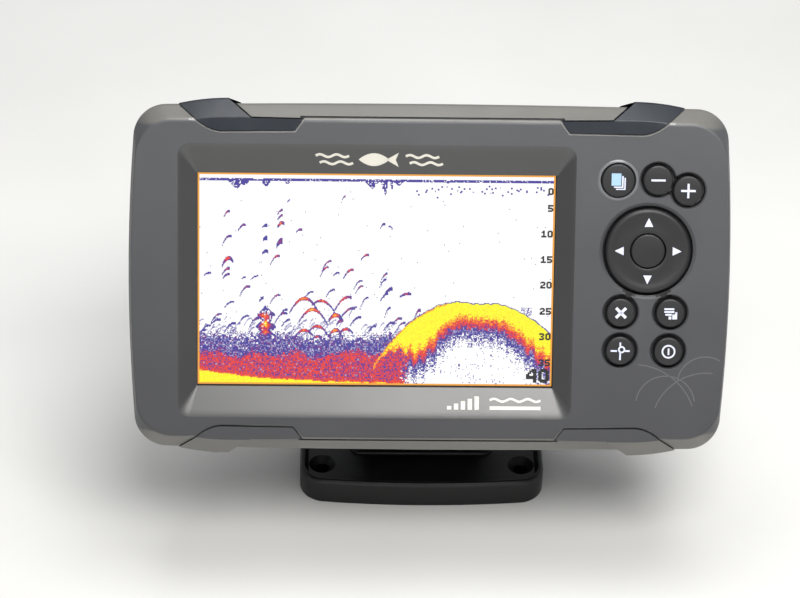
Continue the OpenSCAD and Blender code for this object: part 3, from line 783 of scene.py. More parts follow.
def cut_clip_seats(o):
    for sx in (-1, 1):
        for sz in (-1, 1):
            outline, side = clip_parts(sx, sz, seat=True)
            seat = solid(outline)
            keep_inside(seat, side)
            cut(o, seat)
            # its edge on the face is broken by a small chamfer
            chamfer = [
                [(x, y, z) for x, z in offset_outline(CLIP_OUTLINE, gap)]
                for y, gap in ((-0.32, 0.98), (0.40, 0.2))
            ]
            cut(o, mirrored(loft(chamfer), -sx, sz))
    # groove along the edge between the clips
    for sz in (-1, 1):
        z0, z1 = sorted((sz * (HALF_H - 4.2), sz * (HALF_H - 3.62)))
        cut(o, prism(rect(-39.6, z0, 39.6, z1), -1, 2.0))


def paint_bezel(o):
    """Gives the slopes their material, the lips of the seats painted highlights, and the insides of
    the wells and the link spots painted shade.
    """
    slope, gap, lip_highlight_top, lip_highlight_low = 1, 2, 3, 4
    for p in o.data.polygons:
        x, y, z = p.center
        facing = p.normal.y
        u, w = abs(x - SCREEN_X), abs(z - SCREEN_Z)
        on_surround = u < SURROUND_W + 0.2 and w < SURROUND_H + 0.2 and 0.02 < y < 3.3
        in_lip_band = 38 < abs(x) < 73 and 43 < abs(z) < 49.2 and y < 0.42
        wells = ROUND_WELLS + [PAD]
        if on_surround and -0.985 < facing < -0.2 and (u > PICTURE_W or w > PICTURE_H):
            p.material_index = slope
        # painted highlight: the lips of the seats get a light colour, brighter on the top than below
        elif in_lip_band and -0.95 < facing < -0.3:
            p.material_index = lip_highlight_top if z > 0 else lip_highlight_low
        # painted shade: the insides of the wells and the link spots get the near-black gap colour
        elif 0.3 < y < 6 and any(math.hypot(x - k.x, z - k.z) < k.well + 0.15 for k in wells):
            p.material_index = gap
        elif 0.1 < y < 2.5 and any(math.hypot(x - a, z - b) < r for a, b, r in LINK_SPOTS):
            p.material_index = gap


def build_bezel():
    o = solid(bezel_solid(), *(MAT[k] for k in ("bezel", "slope", "gap", "lip_highlight_top", "lip_highlight_low")))
    # hollow from behind
    cut(
        o,
        stack([(87.5, 47.3, 6, 2.6), (87.5, 47.3, 6, 8.2)], 10),
        stack([(87.5, 48.0, 8, 8.1), (87.5, 48.0, 8, 30)], 10),
    )
    # thicker frame behind the surround, the surround itself and the step behind it
    fuse(o, stack([(63, 43, 3, 2.4), (63, 43, 3, 5.0)], 8, SCREEN_X, SCREEN_Z))
    step = stack([(56.3, 35.3, 0.4, 3.2), (56.3, 35.3, 0.4, 7)], 4, SCREEN_X, SCREEN_Z)
    cut(o, surround_cutter(), step)
    cut_wells(o)
    cut_links(o)
    cut_clip_seats(o)
    tidy(o)
    paint_bezel(o)
    return o


def build_pages_ring():
    """Raised ring round the pages key."""
    key = KEYS["pages"]
    # radius beyond the well, y
    profile = [
        (0.02, 0.6), (0.05, -0.15), (0.22, -0.36), (0.45, -0.38), (0.72, -0.22), (1.0, 0.03),
        (1.0, 0.6),
    ]
    return solid(lathe([(key.well + d, y) for d, y in profile], key.x, key.z), MAT["ring"])


finish_piece(
    build_bezel(), "bezel_shell", "unit", ["front_bezel"], bevel=0.16, segments=2
)
finish_piece(build_pages_ring(), "pages_key_ring", "unit")

for row, sz in (("top", 1), ("bottom", -1)):
    for side, sx in (("left", -1), ("right", 1)):
        corner = f"{row}_{side}"
        clip = build_clip(sx, sz, MAT["clip_" + row])
        nodes = ["corner_clip_" + corner]
        finish_piece(clip, "clip_" + corner, "unit", nodes, bevel=0.38)


# ---------------------------------------------------------------- rear cover
COVER_SCREWS = ((80, 41), (-80, 41), (80, -41), (-80, -41))  # x, z
# Outside: y, inset of the case's outline in x, inset in z
COVER_STATIONS = [
    (COVER_Y, 1.22, 3.05), (COVER_Y + 0.3, 1.0, 2.82), (22.0, 1.1, 3.06), (23.2, 1.2, 3.32),
    (23.8, 1.36, 3.5), (24.5, 1.72, 3.78), (25.4, 2.25, 4.2), (27.0, 3.2, 4.95),
    (29.0, 4.4, 5.9), (30.6, 5.2, 6.55), (31.6, 5.8, 7.05), (32.4, 6.35, 7.45),
    (33.0, 6.85, 7.9), (33.5, 7.5, 8.45), (33.85, 8.4, 9.2), (34.0, 9.6, 10.2),
]
BLOCK_W, BLOCK_H, BLOCK_R = 58.0, 40.0, 9.0  # half sizes and corner radius of the rear block
# Block: y, inset
BLOCK_STATIONS = [
    (30.0, 0.0), (34.5, 0.0), (37.0, 0.12), (42.0, 0.5), (45.0, 0.8), (46.2, 1.05),
    (47.2, 1.45), (48.1, 2.1), (48.9, 3.0), (49.45, 4.0), (49.8, 5.1), (49.97, 6.4),
    (50.0, 7.6),
]
# Soft foot where the block meets the cover: y, outset from the block
FOOT_STATIONS = [
    (33.4, 3.0), (33.9, 2.3), (34.15, 1.4), (34.6, 0.75), (35.3, 0.3), (36.2, -0.05),
]


def inset_outline(y, dx, dz):
    """Outline of the case drawn in by dx and dz, with its corners kept round."""
    corner_x, corner_z = BOW_X + CORNER_R, BOW_Z + CORNER_R

    def draw_in(value, half, corner, inset):
        core = half - corner
        if abs(value) <= core:
            return value
        return math.copysign(core + (abs(value) - core) * (1 - inset / corner), value)

    return [
        (draw_in(x, HALF_W, corner_x, dx), y, draw_in(z, HALF_H, corner_z, dz)) for x, z in OUTER
    ]


def block_stack(stations, corner_rate):
    """Stack from (y, outset) stations; the corner radius grows at the rate given."""
    rows = [(BLOCK_W + d, BLOCK_H + d, BLOCK_R + d * corner_rate, y) for y, d in stations]
    return stack(rows, 12)


def build_cover():
    o = solid(loft([inset_outline(*row) for row in COVER_STATIONS]), MAT["cover"])
    fuse(o, block_stack([(y, -d) for y, d in BLOCK_STATIONS], corner_rate=0.5))
    fuse(o, block_stack(FOOT_STATIONS, corner_rate=0.8))
    boss = [(0, 24), (4.2, 24), (4.2, 33.0), (4.05, 33.35), (3.85, 33.5), (0, 33.5)]
    fuse(o, *(lathe(boss, x, z, 48) for x, z in COVER_SCREWS))
    # hollow behind the seal, in the case and in the block
    cut(
        o,
        stack([(84.0, 43.5, 6, 18), (84.0, 43.5, 6, 24.5), (79.5, 40.0, 5, 31.2)], 6),
        stack([(55.4, 37.4, 6, 31.0), (55.0, 37.0, 6, 44.0), (52.0, 34.0, 5, 47.4)], 6),
    )
    # solid bar inside, with a dovetail channel open at its lower end and the catch's notch
    fuse(o, prism(rect(-27, 35.6, 27, 48.6), -37.2, 32, "z"))
    cut(
        o,
        prism([(-23, 40), (-19.7, 51), (19.7, 51), (23, 40)], -60, 28, "z"),
        prism(rect(-8, 9.6, 8, 17.0), 38.1, 41),
    )
    hole = [
        (0, 15), (1.6, 15), (1.6, 31), (3.3, 31), (3.3, 33.2), (3.75, 34.2), (3.75, 36), (0, 36),
    ]
    cut(o, *(lathe(hole, x, z, 48) for x, z in COVER_SCREWS))
    # card door: frame, then recess, hinge bay, opening and finger notch
    fuse(o, prism(rect(59, -15.5, 83.3, 15.5), 29.0, 33.4))
    cut(
        o,
        prism(rect(61.7, -12.3, 79.7, 12.3), 32.1, 36),
        prism(rect(79.4, -12.3, 83.2, 12.3), 30.9, 36),
        prism(rect(65, -9.5, 77, 9.5), 22, 36),
        prism(rect(58.7, -3.5, 62.1, 3.5), 31, 36),
    )
    # two round openings low in the block
    opening = [(0, 40), (8.1, 40), (8.1, 49.4), (8.6, 50.1), (8.6, 53), (0, 53)]
    cut(o, *(lathe(opening, x, -22, 72) for x in (-40, 40)))
    return tidy(o)


finish_piece(
    build_cover(), "rear_cover_shell", "unit", ["rear_cover"], bevel=0.35
)

# ---------------------------------------------------------------- base of the bracket
# Sketched upright in mm, in the frame's own axes.
BASE_TOP = 9.5
BASE_HOLES = [(x, y) for x in (-32.5, 32.5) for y in (-24.5, 24.5)]
HEAD_R = 10.0
# Outside of the base with its rolled rim: inset, z
BASE_STATIONS = [
    (0.55, 0.0), (0.2, 0.12), (0.0, 0.5), (0.0, 7.9), (0.06, 8.35), (0.22, 8.8), (0.48, 9.18),
    (0.85, 9.42), (1.25, BASE_TOP), (1.55, 9.42), (1.85, 9.2), (2.05, 8.85), (2.2, 8.4),
    (2.3, 7.6), (2.45, 7.15), (2.75, 6.88), (3.1, 6.8),
]
# Pad under the cheeks: inset, z
PAD_STATIONS = [(0, 6.0), (0, 7.0), (0.12, 7.4), (0.4, 7.75), (0.8, 7.95), (1.2, 8.0)]


def plan(w, h, r, z, bow=340.0, y_mid=0.0):
    """Plan at height z: round corners, and a front edge bowed outwards to the radius bow."""
    base = rounded(w, h, r, 0, 0.0, 0.0, steps=10)
    points = []
    for a, b in zip(base, base[1:] + base[:1]):
        steps = 16 if math.hypot(a[0] - b[0], a[2] - b[2]) > 10 else 1
        for j in range(steps):
            x = a[0] + (b[0] - a[0]) * j / steps
            y = a[2] + (b[2] - a[2]) * j / steps
            if y < 0:
                y += (bow - math.sqrt(bow * bow - x * x)) * min(1.0, -y / (h * 0.7))
            points.append((x, y + y_mid, z))
    return points


def pivot_plan(w, h, r, z):
    """Nearly straight-edged plan about the pivot."""
    return plan(w, h, r, z, bow=5000.0, y_mid=PIVOT_Y)


def build_cheek(side):
    """A tapered arm with a round head, a hole for the bolt and a spread foot."""
    head = []
    for i in range(25):
        a = math.radians(-6 + 192 * i / 24)
        head.append((PIVOT_Y + HEAD_R * math.cos(a), PIVOT_Z + HEAD_R * math.sin(a)))
    # distance in front of the pivot, z
    foot = [(10.9, 16.0), (11.6, 11.0), (12.4, 9.0), (13.6, 8.1), (14.6, 7.6)]
    front = [(PIVOT_Y - d, z) for d, z in foot]
    back = [(2 * PIVOT_Y - y, z) for y, z in reversed(front)]
    o = solid(prism(head + front + back, 14 * side, 20 * side, "x"), MAT["bracket"])
    cut(o, turned_to_x(cylinder(3.02, 10 * side, 24 * side, PIVOT_Y, PIVOT_Z, 48)))
    return tidy(o)


def build_base():
    plate = [plan(39.75 - d, 37.0 - d, 7.5 - d, z) for d, z in BASE_STATIONS]
    o = solid(loft(plate), MAT["bracket"])
    # hollow underside, which leaves a core and bosses round the holes
    hollow = solid(loft([plan(37.2, 34.4, 5, z) for z in (-1, BASE_TOP - 5.2)]))
    cut(hollow, loft([pivot_plan(23, 17, 3, z) for z in (-2, 12)]))
    cut(hollow, *(turned_to_z(cylinder(7.6, -2, 12, x, y, 48)) for x, y in BASE_HOLES))
    cut(o, hollow)
    # countersunk hole: radius, z
    hole = [
        (0, -1), (2.25, -1), (2.25, BASE_TOP - 4.7), (4.3, BASE_TOP - 2.72),
        (4.45, BASE_TOP - 2.4), (4.45, BASE_TOP + 1), (0, BASE_TOP + 1),
    ]
    cut(o, *(turned_to_z(lathe(hole, x, y, 64)) for x, y in BASE_HOLES))
    tidy(o)
    pad = loft([pivot_plan(23.6 - d, 15.6 - d, 3.4, z) for d, z in PAD_STATIONS])
    return join([o, solid(pad, MAT["bracket"]), build_cheek(-1), build_cheek(1)])


finish_piece(
    build_base(), "bracket_base_shell", "base", ["bracket_base"],
    place=UPRIGHT, bevel=0.5, angle=40,
)


# ---------------------------------------------------------------- outlines of prints
def stroke(points, width):
    """Outline of a thick line through points."""
    points = [Vector(p) for p in points]
    left, right = [], []
    last = len(points) - 1
    for i, p in enumerate(points):
        a = (p - points[i - 1] if i else points[1] - p).normalized()
        b = (points[i + 1] - p).normalized() if i < last else a
        tangent = (a + b).normalized()
        normal = Vector((-tangent.y, tangent.x))
        k = width / 2 / normal.dot(Vector((-a.y, a.x)))
        left.append(tuple(p + normal * k))
        right.append(tuple(p - normal * k))
    return left + right[::-1]


def arc_band(cx, cz, r, width, start=0.0, end=360.0, steps=40):
    """Ring or arc as one outline for about each quarter; angles in degrees."""
    parts = []
    count = max(1, int(round((end - start) / 90)))
    m = max(3, steps // count)
    for s in range(count):
        low = start + (end - start) * s / count
        high = start + (end - start) * (s + 1) / count
        arc = [math.radians(low + (high - low) * i / m) for i in range(m + 1)]
        outline = []
        for radius, angles in ((r + width / 2, arc), (r - width / 2, arc[::-1])):
            outline += [(cx + radius * math.cos(a), cz + radius * math.sin(a)) for a in angles]
        parts.append(outline)
    return parts


def ripple(x0, x1, z, height, length, width, steps=48):
    points = []
    for i in range(steps + 1):
        wave = math.sin(2 * math.pi * (x1 - x0) * i / steps / length)
        points.append((x0 + (x1 - x0) * i / steps, z + height * wave))
    return stroke(points, width)


def moved(outlines, dx, dz):
    return [[(x + dx, z + dz) for x, z in s] for s in outlines]


# ---------------------------------------------------------------- keys
# Legends: x, z from the middle of the key
LEGENDS = {
    "pages": [
        [(1.05, 1.45), (1.05, -1.75), (-1.35, -1.75), (-1.35, -2.15), (1.5, -2.15), (1.5, 1.45)],
        [(1.75, 0.9), (1.75, -2.4), (-0.7, -2.4), (-0.7, -2.75), (2.15, -2.75), (2.15, 0.9)],
    ],
    "zoom_out": [rect(-2.15, -0.3, 2.15, 0.3)],
    "zoom_in": [
        rect(-2.2, -0.32, 2.2, 0.32), rect(-0.32, 0.32, 0.32, 2.2), rect(-0.32, -2.2, 0.32, -0.32)
    ],
    "exit": [stroke([(-1.5, -1.5), (1.5, 1.5)], 0.9), stroke([(-1.5, 1.5), (1.5, -1.5)], 0.9)],
    "menu": [
        rect(-1.9, 1.0, 1.1, 1.55),
        rect(-1.9, 0.15, 1.1, 0.7),
        rect(-1.6, -0.7, 0.35, -0.15),
        rect(-0.6, -1.85, 0.25, -0.95),
        [(0.55, -1.85), (2.0, -1.85), (2.0, 0.35), (1.4, 0.35), (1.4, -0.35), (0.55, -0.35)],
    ],
    "waypoint": [
        rect(-2.9, -0.25, -0.95, 0.25), rect(1.15, -0.25, 2.9, 0.25),
        rect(-0.25, -2.8, 0.25, 0.0), rect(-0.25, 1.45, 0.25, 2.6),
        *arc_band(0.42, 0.42, 0.85, 0.5),
    ],
    "power": [*arc_band(0, 0, 1.85, 0.5), rect(-0.27, -1.0, 0.27, 1.0)],
}
BLUE_LEGENDS = {"pages": [rect(-2.1, -1.5, 0.8, 2.2)]}
KEY_BASE = 3.5


def shoulder(r, edge, y):
    """Profile of a rounded shoulder that starts at depth y and ends at radius r."""
    angles = [math.radians(90 * i / 8) for i in range(1, 9)]
    return [(r - edge + edge * math.sin(a), y + edge * (1 - math.cos(a))) for a in angles]


def cap_profile(r, top=0.9, crown=0.16, edge=0.55):
    """Key cap: gently crowned top, rounded shoulder and straight skirt."""
    profile = [(0, -top)]
    profile += [((r - edge) * i / 8, -top + crown * (i / 8) ** 2) for i in range(1, 9)]
    profile += shoulder(r, edge, -top + crown)
    return profile + [(r, 1.2), (r, KEY_BASE), (0, KEY_BASE)]


def build_key(name, key):
    cap = solid(lathe(cap_profile(key.cap), key.x, key.z, 80), MAT["key"])
    flange = solid(cylinder(key.flange, 2.7, KEY_BASE, key.x, key.z, 64), MAT["key"])
    parts = [cap, flange]
    for legends, ink_name in ((LEGENDS, "legend"), (BLUE_LEGENDS, "legend_blue")):
        if name in legends:
            outlines = moved(legends[name], key.x, key.z)
            parts.append(raised_print(outlines, -0.94, MAT[ink_name], thick=0.22))
    return join(parts)


def build_pad():
    """Cursor pad: a broad ring with a rolled outer edge, a shallow dish and four arrows."""
    inner, outer = KEYS["enter"].well, PAD.cap
    profile = [(inner, 1.5), (inner, -0.45), (inner + 0.12, -0.62), (inner + 0.35, -0.7)]
    profile += [(inner + 1.2, -0.66), (inner + 2.6, -0.60), (inner + 4.2, -0.62)]
    profile += [(outer - 2.4, -0.74), (outer - 1.7, -0.86), (outer - 1.25, -0.9)]
    profile += shoulder(outer, edge=1.1, y=-0.9)
    profile += [(outer, 2.0), (outer, KEY_BASE), (PAD.flange, KEY_BASE), (PAD.flange, 4.1)]
    profile += [(11.4, 4.1), (11.4, 1.5)]
    o = solid(lathe(profile, PAD.x, PAD.z, 128), MAT["key"])
    # bores for the rocker's upper and lower pins
    cut(o, turned_to_z(cylinder(0.65, PAD.z - 12.2, PAD.z + 12.2, PAD.x, 2.9, 32)))
    arrow_r, arrow_half = 8.75, 1.35
    arrow = [
        (arrow_r + arrow_half, 0.0), (arrow_r - arrow_half, 1.3), (arrow_r - arrow_half, -1.3)
    ]
    arrows = []
    for k in range(4):
        c, s = math.cos(math.radians(90 * k)), math.sin(math.radians(90 * k))
        arrows.append([(PAD.x + c * u - s * v, PAD.z + s * u + c * v) for u, v in arrow])
    return join([o, raised_print(arrows, -0.68, MAT["legend"], thick=0.2)])


for name, key in KEYS.items():
    piece = name + "_key"
    finish_piece(build_key(name, key), piece, piece, [name + "_button"])
finish_piece(build_pad(), "cursor_pad_ring", "pad", ["cursor_pad"])

# ---------------------------------------------------------------- marks on the bezel
MARK_Z = 37.1  # middle of the marks above and below the screen's centre


def mark_on_slope(outlines, side):
    """Lays a print on the sloped surround above (side 1) or below (side -1) the screen."""
    o = raised_print(outlines, -0.04, MAT["mark"], thick=0.10)
    for v in o.data.vertices:
        t = (SURROUND_H - side * (v.co.z - SCREEN_Z)) / SLOPE_Z
        v.co.y += SLOPE_DEPTH * (0.03 + 0.97 * t)
    return o


def top_mark():
    """A fish between ripples."""
    z = SCREEN_Z + MARK_Z
    half = 4.6
    body = [
        (-half + 2 * half * i / 24, z + 2.0 * math.sin(math.pi * i / 24) ** 0.85)
        for i in range(25)
    ]
    body += [
        (half - 2 * half * i / 24, z - 2.0 * math.sin(math.pi * i / 24) ** 0.85)
        for i in range(1, 24)
    ]
    tail = [(3.6, z), (7.4, z + 2.2), (6.5, z), (7.4, z - 2.2)]
    outlines = moved([body, tail], SCREEN_X - 1.0, 0)
    for side in (-1, 1):
        x = SCREEN_X + side * 13.5
        for shift, dz in ((0, 1.1), (1.2, -1.1)):
            outlines.append(ripple(x - 5.0 + shift, x + 5.0 + shift, z + dz, 0.42, 5.0, 0.75))
    return mark_on_slope(outlines, 1)


def low_mark():
    """Five rising bars, then a ripple over a long bar."""
    z = SCREEN_Z - MARK_Z
    foot = z - 1.9
    outlines = []
    for k in range(5):
        x = SCREEN_X + 2.1 * k
        outlines.append(rect(x + 22, foot, x + 23.3, foot + 1.0 + 0.72 * k))
    x0, x1 = SCREEN_X + 35, SCREEN_X + 50.5
    outlines.append(ripple(x0, x1, z + 0.9, 0.4, 5.17, 0.62))
    outlines.append(rect(x0, foot, x1, z - 0.9))
    return mark_on_slope(outlines, -1)


# Faint arcs low on the right of the face: x, z, radius, start and end angle in degrees
FACE_ARCS = (
    (72.0, -37.5, 9.0, 8, 172), (84.5, -44.0, 16.5, 84, 160),
    (62.0, -44.5, 19.5, 20, 86), (84.0, -31.0, 8.5, 60, 178),
)


def face_ripples():
    outlines = []
    for x, z, r, start, end in FACE_ARCS:
        outlines += arc_band(x, z, r, 0.32, start, end, steps=36)
    return raised_print(outlines, -0.012, MAT["ripple"], thick=0.05)


finish_piece(top_mark(), "surround_mark_top", "unit")
finish_piece(low_mark(), "surround_mark_low", "unit")
finish_piece(face_ripples(), "face_ripples", "unit")

# ---------------------------------------------------------------- screen picture
# A sonar chart on a mesh of square cells. X and Z are the cells' centres in mm from the
# picture's middle; an echo's strength runs from 0, clear water, to 1.
COLS, ROWS = 400, 240
CELL = 2 * PICTURE_W / COLS
X, Z = np.meshgrid(
    (np.arange(COLS) + 0.5) / COLS * 2 * PICTURE_W - PICTURE_W,
    PICTURE_H - (np.arange(ROWS) + 0.5) / ROWS * 2 * PICTURE_H,
)
# White, pale, navy, purple, red, orange, yellow, and the strengths between them
ECHO_COLOURS = np.array(
    [
        (255, 255, 255), (158, 156, 196), (66, 54, 152), (132, 42, 128),
        (226, 58, 52), (250, 146, 30), (255, 244, 22),
    ],
    float,
)
ECHO_EDGES = np.array([0.16, 0.25, 0.45, 0.58, 0.76, 0.87])
PALE, NAVY, PURPLE, RED, ORANGE, YELLOW = 0.20, 0.36, 0.50, 0.66, 0.82, 0.95
BORDER, BORDER_COLOUR, DIGIT_COLOUR = 0.45, (240, 166, 66), (24, 24, 28)
# Digits, row by row from the top
GLYPHS = {
    "0": ".####. ###### ##..## ##..## ##..## ##..## ###### .####.",
    "1": "..##.. .###.. ####.. ..##.. ..##.. ..##.. ###### ######",
    "2": ".####. ###### #...## ...### .####. ###... ###### ######",
    "3": "#####. ###### ....## ..###. ..###. ....## ###### #####.",
    "4": "...### ..#### .##.## ##..## ###### ###### ....## ....##",
    "5": "###### ###### ##.... #####. ###### ....## ###### #####.",
}
DEPTH_LABELS_Z = (28.6, 23.3, 15.6, 7.7, -0.2, -8.2, -16.2, -24.1)  # for 0, 5, 10 ... 35
# Plumes under the surface: x, half width, length
PLUMES = (
    (-42.5, 2.6, 2.7), (-40.0, 1.8, 1.6), (-33.5, 1.7, 1.9), (-27, 1.2, 1.1),
    (-1.5, 2.2, 2.4), (2.2, 1.3, 4.3), (6.5, 1.6, 1.3), (4.4, 0.5, 2.9),
)
# Fish arches: x, z, half width, height, peak strength, thickness, lean
FISH = [
    (-45.0, 19.3, 1.3, 1.3, .62, .5, .8), (-40.3, 15.2, 1.6, 1.3, .6, .45, .6),
    (-44.7, 11.2, 1.9, 1.9, .6, .45, .9), (-28.9, 20.3, 1.0, .8, .62, .45, .5),
    (-28.9, 18.7, 1.0, .7, .6, .45, .5), (-28.9, 16.2, 1.2, 1.0, .8, .7, .6),
    (-23.0, 14.6, 1.2, .7, .55, .4, .1), (-33.4, 15.9, 1.1, .6, .4, .5, 0),
    (-33.4, 11.8, .9, .9, .42, .8, 0), (-33.4, 7.8, 1.2, .8, .42, .6, .1),
    (-29.0, 10.4, 1.2, 1.3, .6, 1.1, .4), (-45.0, 4.6, 1.7, 1.7, .8, .8, .8),
    (-45.0, 1.8, 1.7, 1.4, .66, .5, .6), (-45.0, .4, 1.5, 1.0, .5, .45, .4),
    (-50.6, 1.2, 1.4, .6, .38, .35, .1), (-39.2, -4.2, 2.0, 1.9, .62, .45, .9),
    (-30.2, 5.2, 1.9, 1.9, .72, .45, .9), (-36.4, 0.3, 1.6, .6, .34, .3, .5),
    (-39.8, .2, 1.0, .4, .33, .3, .2), (-26.4, 23.8, .5, .4, .4, .35, .2),
    (-9.8, 24.9, .6, .5, .6, .4, .4), (2.2, 16.4, 1.0, .8, .45, .45, .4),
    (4.4, 15.4, .8, .9, .5, .35, -.9), (-3.0, 6.5, 1.7, 1.2, .66, .45, .6),
    (-14.4, 3.6, 2.0, 2.0, .6, .42, 1.0), (-15.2, 2.0, 1.7, 1.7, .7, .42, 1.0),
    (-7.8, 1.2, 2.2, 1.8, .72, .5, 1.0), (-11.8, 1.4, 1.2, .7, .4, .35, .2),
    (-5.0, -2.2, 1.8, 1.8, .5, .4, 1.0), (-4.6, -3.4, 1.6, 1.4, .62, .4, .9),
    (2.8, .3, 1.4, 1.5, .6, .45, 1.0), (2.6, -1.2, 1.4, 1.3, .4, .4, .9),
    (4.2, -4.2, 1.8, 1.4, .45, .7, 1.0), (3.0, -5.6, 1.6, 1.2, .4, .4, .9),
    (9.6, -4.9, 2.4, .8, .62, .5, .3), (-19.8, -5.0, 1.6, 1.2, .4, .35, .6),
    (-13.4, -4.6, 1.8, 1.4, .42, .35, .9), (-30.0, -6.6, 2.0, 1.7, .62, .42, .8),
    (-47.8, -12.6, 2.2, 1.7, .55, .4, .9), (-48.2, -14.2, 2.4, 1.6, .42, .4, .8),
    (-44.0, -8.2, 1.9, 1.1, .42, .35, .6), (-43.6, -15.6, 2.4, 1.9, .42, .4, .9),
    (-39.5, -13.2, 2.2, 1.8, .42, .4, .9), (-36.4, -14.0, 2.0, 1.9, .55, .42, 1.0),
    (-28.0, -12.4, 2.4, 2.0, .58, .42, .7), (-21.8, -10.2, 4.4, 4.4, .86, .62, .3),
    (-19.0, -13.4, 4.3, 4.2, .88, .64, -.3), (-15.8, -9.2, 3.6, 2.6, .8, .5, -1.2),
    (-17.2, -17.0, 3.2, 2.6, .78, .55, -.9), (-21.6, -17.2, 2.6, 1.6, .84, .6, 0),
    (-9.4, -9.4, 4.0, 3.8, .72, .55, 2.2), (-8.0, -12.0, 3.8, 3.0, .6, .5, 2.0),
    (-12.2, -12.6, 2.2, 1.7, .92, .8, .3), (-10.4, -13.6, 1.6, 1.0, .6, .5, .2),
    (-12.2, -17.0, 2.0, 1.5, .92, .7, .3), (-9.0, -16.6, 2.2, 1.4, .8, .6, .2),
    (-5.4, -13.4, 2.4, 1.8, .44, .4, .9), (-3.0, -7.8, 1.8, 2.2, .5, .38, 1.4),
    (-6.4, -10.0, 1.6, 1.5, .4, .35, .9), (-17.6, -18.4, 1.8, .9, .7, .5, .1),
    (4.0, -10.6, 1.3, 2.0, .42, .5, 1.2), (-.5, -15.6, 1.8, 1.3, .42, .38, .6),
    (4.6, -15.0, 2.2, 1.8, .5, .4, .8), (7.0, -13.4, 2.2, 1.6, .6, .42, .9),
    (8.2, -14.6, 1.8, 1.4, .5, .4, .8), (13.2, -10.4, 1.2, 1.2, .6, .6, .8),
    (-33.2, -17.4, 2.6, 1.2, .84, .6, 0), (-51.0, -15.8, 2.0, 1.4, .4, .4, .7),
    (-27.6, -10.6, 1.6, 1.2, .4, .4, .8), (-26.8, -13.8, 1.8, 1.2, .4, .4, .8),
    (-34.5, -6.6, 1.0, .8, .34, .5, .6), (-52.4, -17.0, 1.4, 1.2, .36, .4, .6),
]
# Bed on the left, the hump's rim on the right, and the thickness of the hump's bright band
BED_X = [-54, -46, -36, -21, -4, 8.5]
BED_Z = [-28.0, -29.2, -30.4, -31.2, -31.7, -31.7]
RIM_X = [
    -2.0, -0.5, 3.9, 7.4, 10.4, 14.4, 19.1, 23.5, 26.5, 30.0, 33.5, 37.0, 40.9, 44.4, 48.7, 53.1,
    54.5,
]
RIM_Z = [
    -28.6, -26.2, -19.9, -16.0, -12.9, -10.3, -7.7, -6.7, -6.55, -7.2, -7.2, -7.0, -8.2, -9.8,
    -12.4, -16.0, -17.2,
]
BAND_X = [2, 4, 8.5, 12.7, 16.9, 21.3, 25.6, 30, 34.4, 38.7, 43, 47.4, 54]
BAND_THICK = [0.2, 0.8, 4.3, 9.0, 8.6, 6.2, 4.5, 4.3, 4.6, 4.8, 5.4, 6.0, 5.8]


def smooth_noise(cells, seed):
    """Smooth value noise in 0..1 with knots the given number of cells apart."""
    shape = (int(ROWS / cells) + 3, int(COLS / cells) + 3)
    g = np.random.default_rng(seed).random(shape)
    y, x = np.mgrid[0:ROWS, 0:COLS] / cells
    i, j = y.astype(int), x.astype(int)
    fy, fx = y - i, x - j
    fy, fx = fy * fy * (3 - 2 * fy), fx * fx * (3 - 2 * fx)
    upper = g[i, j] * (1 - fx) + g[i, j + 1] * fx
    return upper * (1 - fy) + (g[i + 1, j] * (1 - fx) + g[i + 1, j + 1] * fx) * fy


def speckle(seed, cells=1.2):
    """Blocky noise in 0..1, in grains a little larger than one cell."""
    g = np.random.default_rng(seed).random((int(ROWS / cells) + 2, int(COLS / cells) + 2))
    rows, cols = (np.arange(ROWS) / cells).astype(int), (np.arange(COLS) / cells).astype(int)
    return g[rows[:, None], cols[None, :]]


RNG = np.random.default_rng(20)
FINE = RNG.random((ROWS, COLS))
GRAIN, GRAIN_2, GRAIN_3 = speckle(11), speckle(12), speckle(13)
SOFT, BROAD = smooth_noise(5.0, 3), smooth_noise(22.0, 4)


def strengthen(echo, mask, strength):
    return np.maximum(echo, np.where(mask, strength, 0))


def banded(values, edges, strengths):
    """Strength by band: the first below the first edge, the last from the last edge up."""
    return np.array(strengths)[np.searchsorted(edges, values, side="right")]


def add_surface(echo):
    """Surface line, the plumes and specks under it, and loose specks in open water."""
    waves = smooth_noise(9.0, 5)[0] * 0.25 - 0.125
    echo = strengthen(echo, (np.abs(Z - (30.35 + waves)) < 0.40) & (FINE > 0.08), NAVY)
    for x, w, length in PLUMES:
        narrowing = w * (1 - (30.2 - Z) / (length + 0.4))
        plume = (np.abs(X - x - (30 - Z) * 0.1) < narrowing) & (Z < 30.3) & (Z > 30.2 - length)
        echo = strengthen(echo, plume & (GRAIN > 0.22), NAVY)
    for k in range(14):
        x = 13 + k * 2.9
        for _ in range(3):
            dx, dz = RNG.normal(0, 1.6), -abs(RNG.normal(0, 1.5)) - 1.0
            spot = (np.abs(X - x - dx) < 0.25) & (np.abs(Z - 29.8 - dz) < 0.25)
            echo = strengthen(echo, spot, NAVY)
    chance = 0.0012 + 0.010 * np.clip((-Z - 2) / 16, 0, 1) * np.clip((14 - X) / 20, 0, 1)
    return strengthen(echo, (Z < 29) & (Z > -18) & (FINE < chance), NAVY)


def arch(x, z, w, h, peak, thick, lean):
    """A fish arch: an arc that rises and crowns; only strong ones also fall."""
    t = (X - x) / w
    top = z + h * (1 - np.abs(t) ** 2.0) + lean * t
    d = np.abs(Z - top) / (0.62 * thick * (1 + 0.45 * (1 - t * t)))
    inside = (t > -1) & (t < (1.0 if peak >= 0.74 else 0.5)) & (d < 1)
    v = peak * (1 - 0.62 * np.abs(t + 0.1)) * (1 - np.clip(d, 0, 1) ** 2 * 0.45)
    return np.where(inside, np.maximum(v - 0.12 * (GRAIN - 0.5), 0.30), 0)


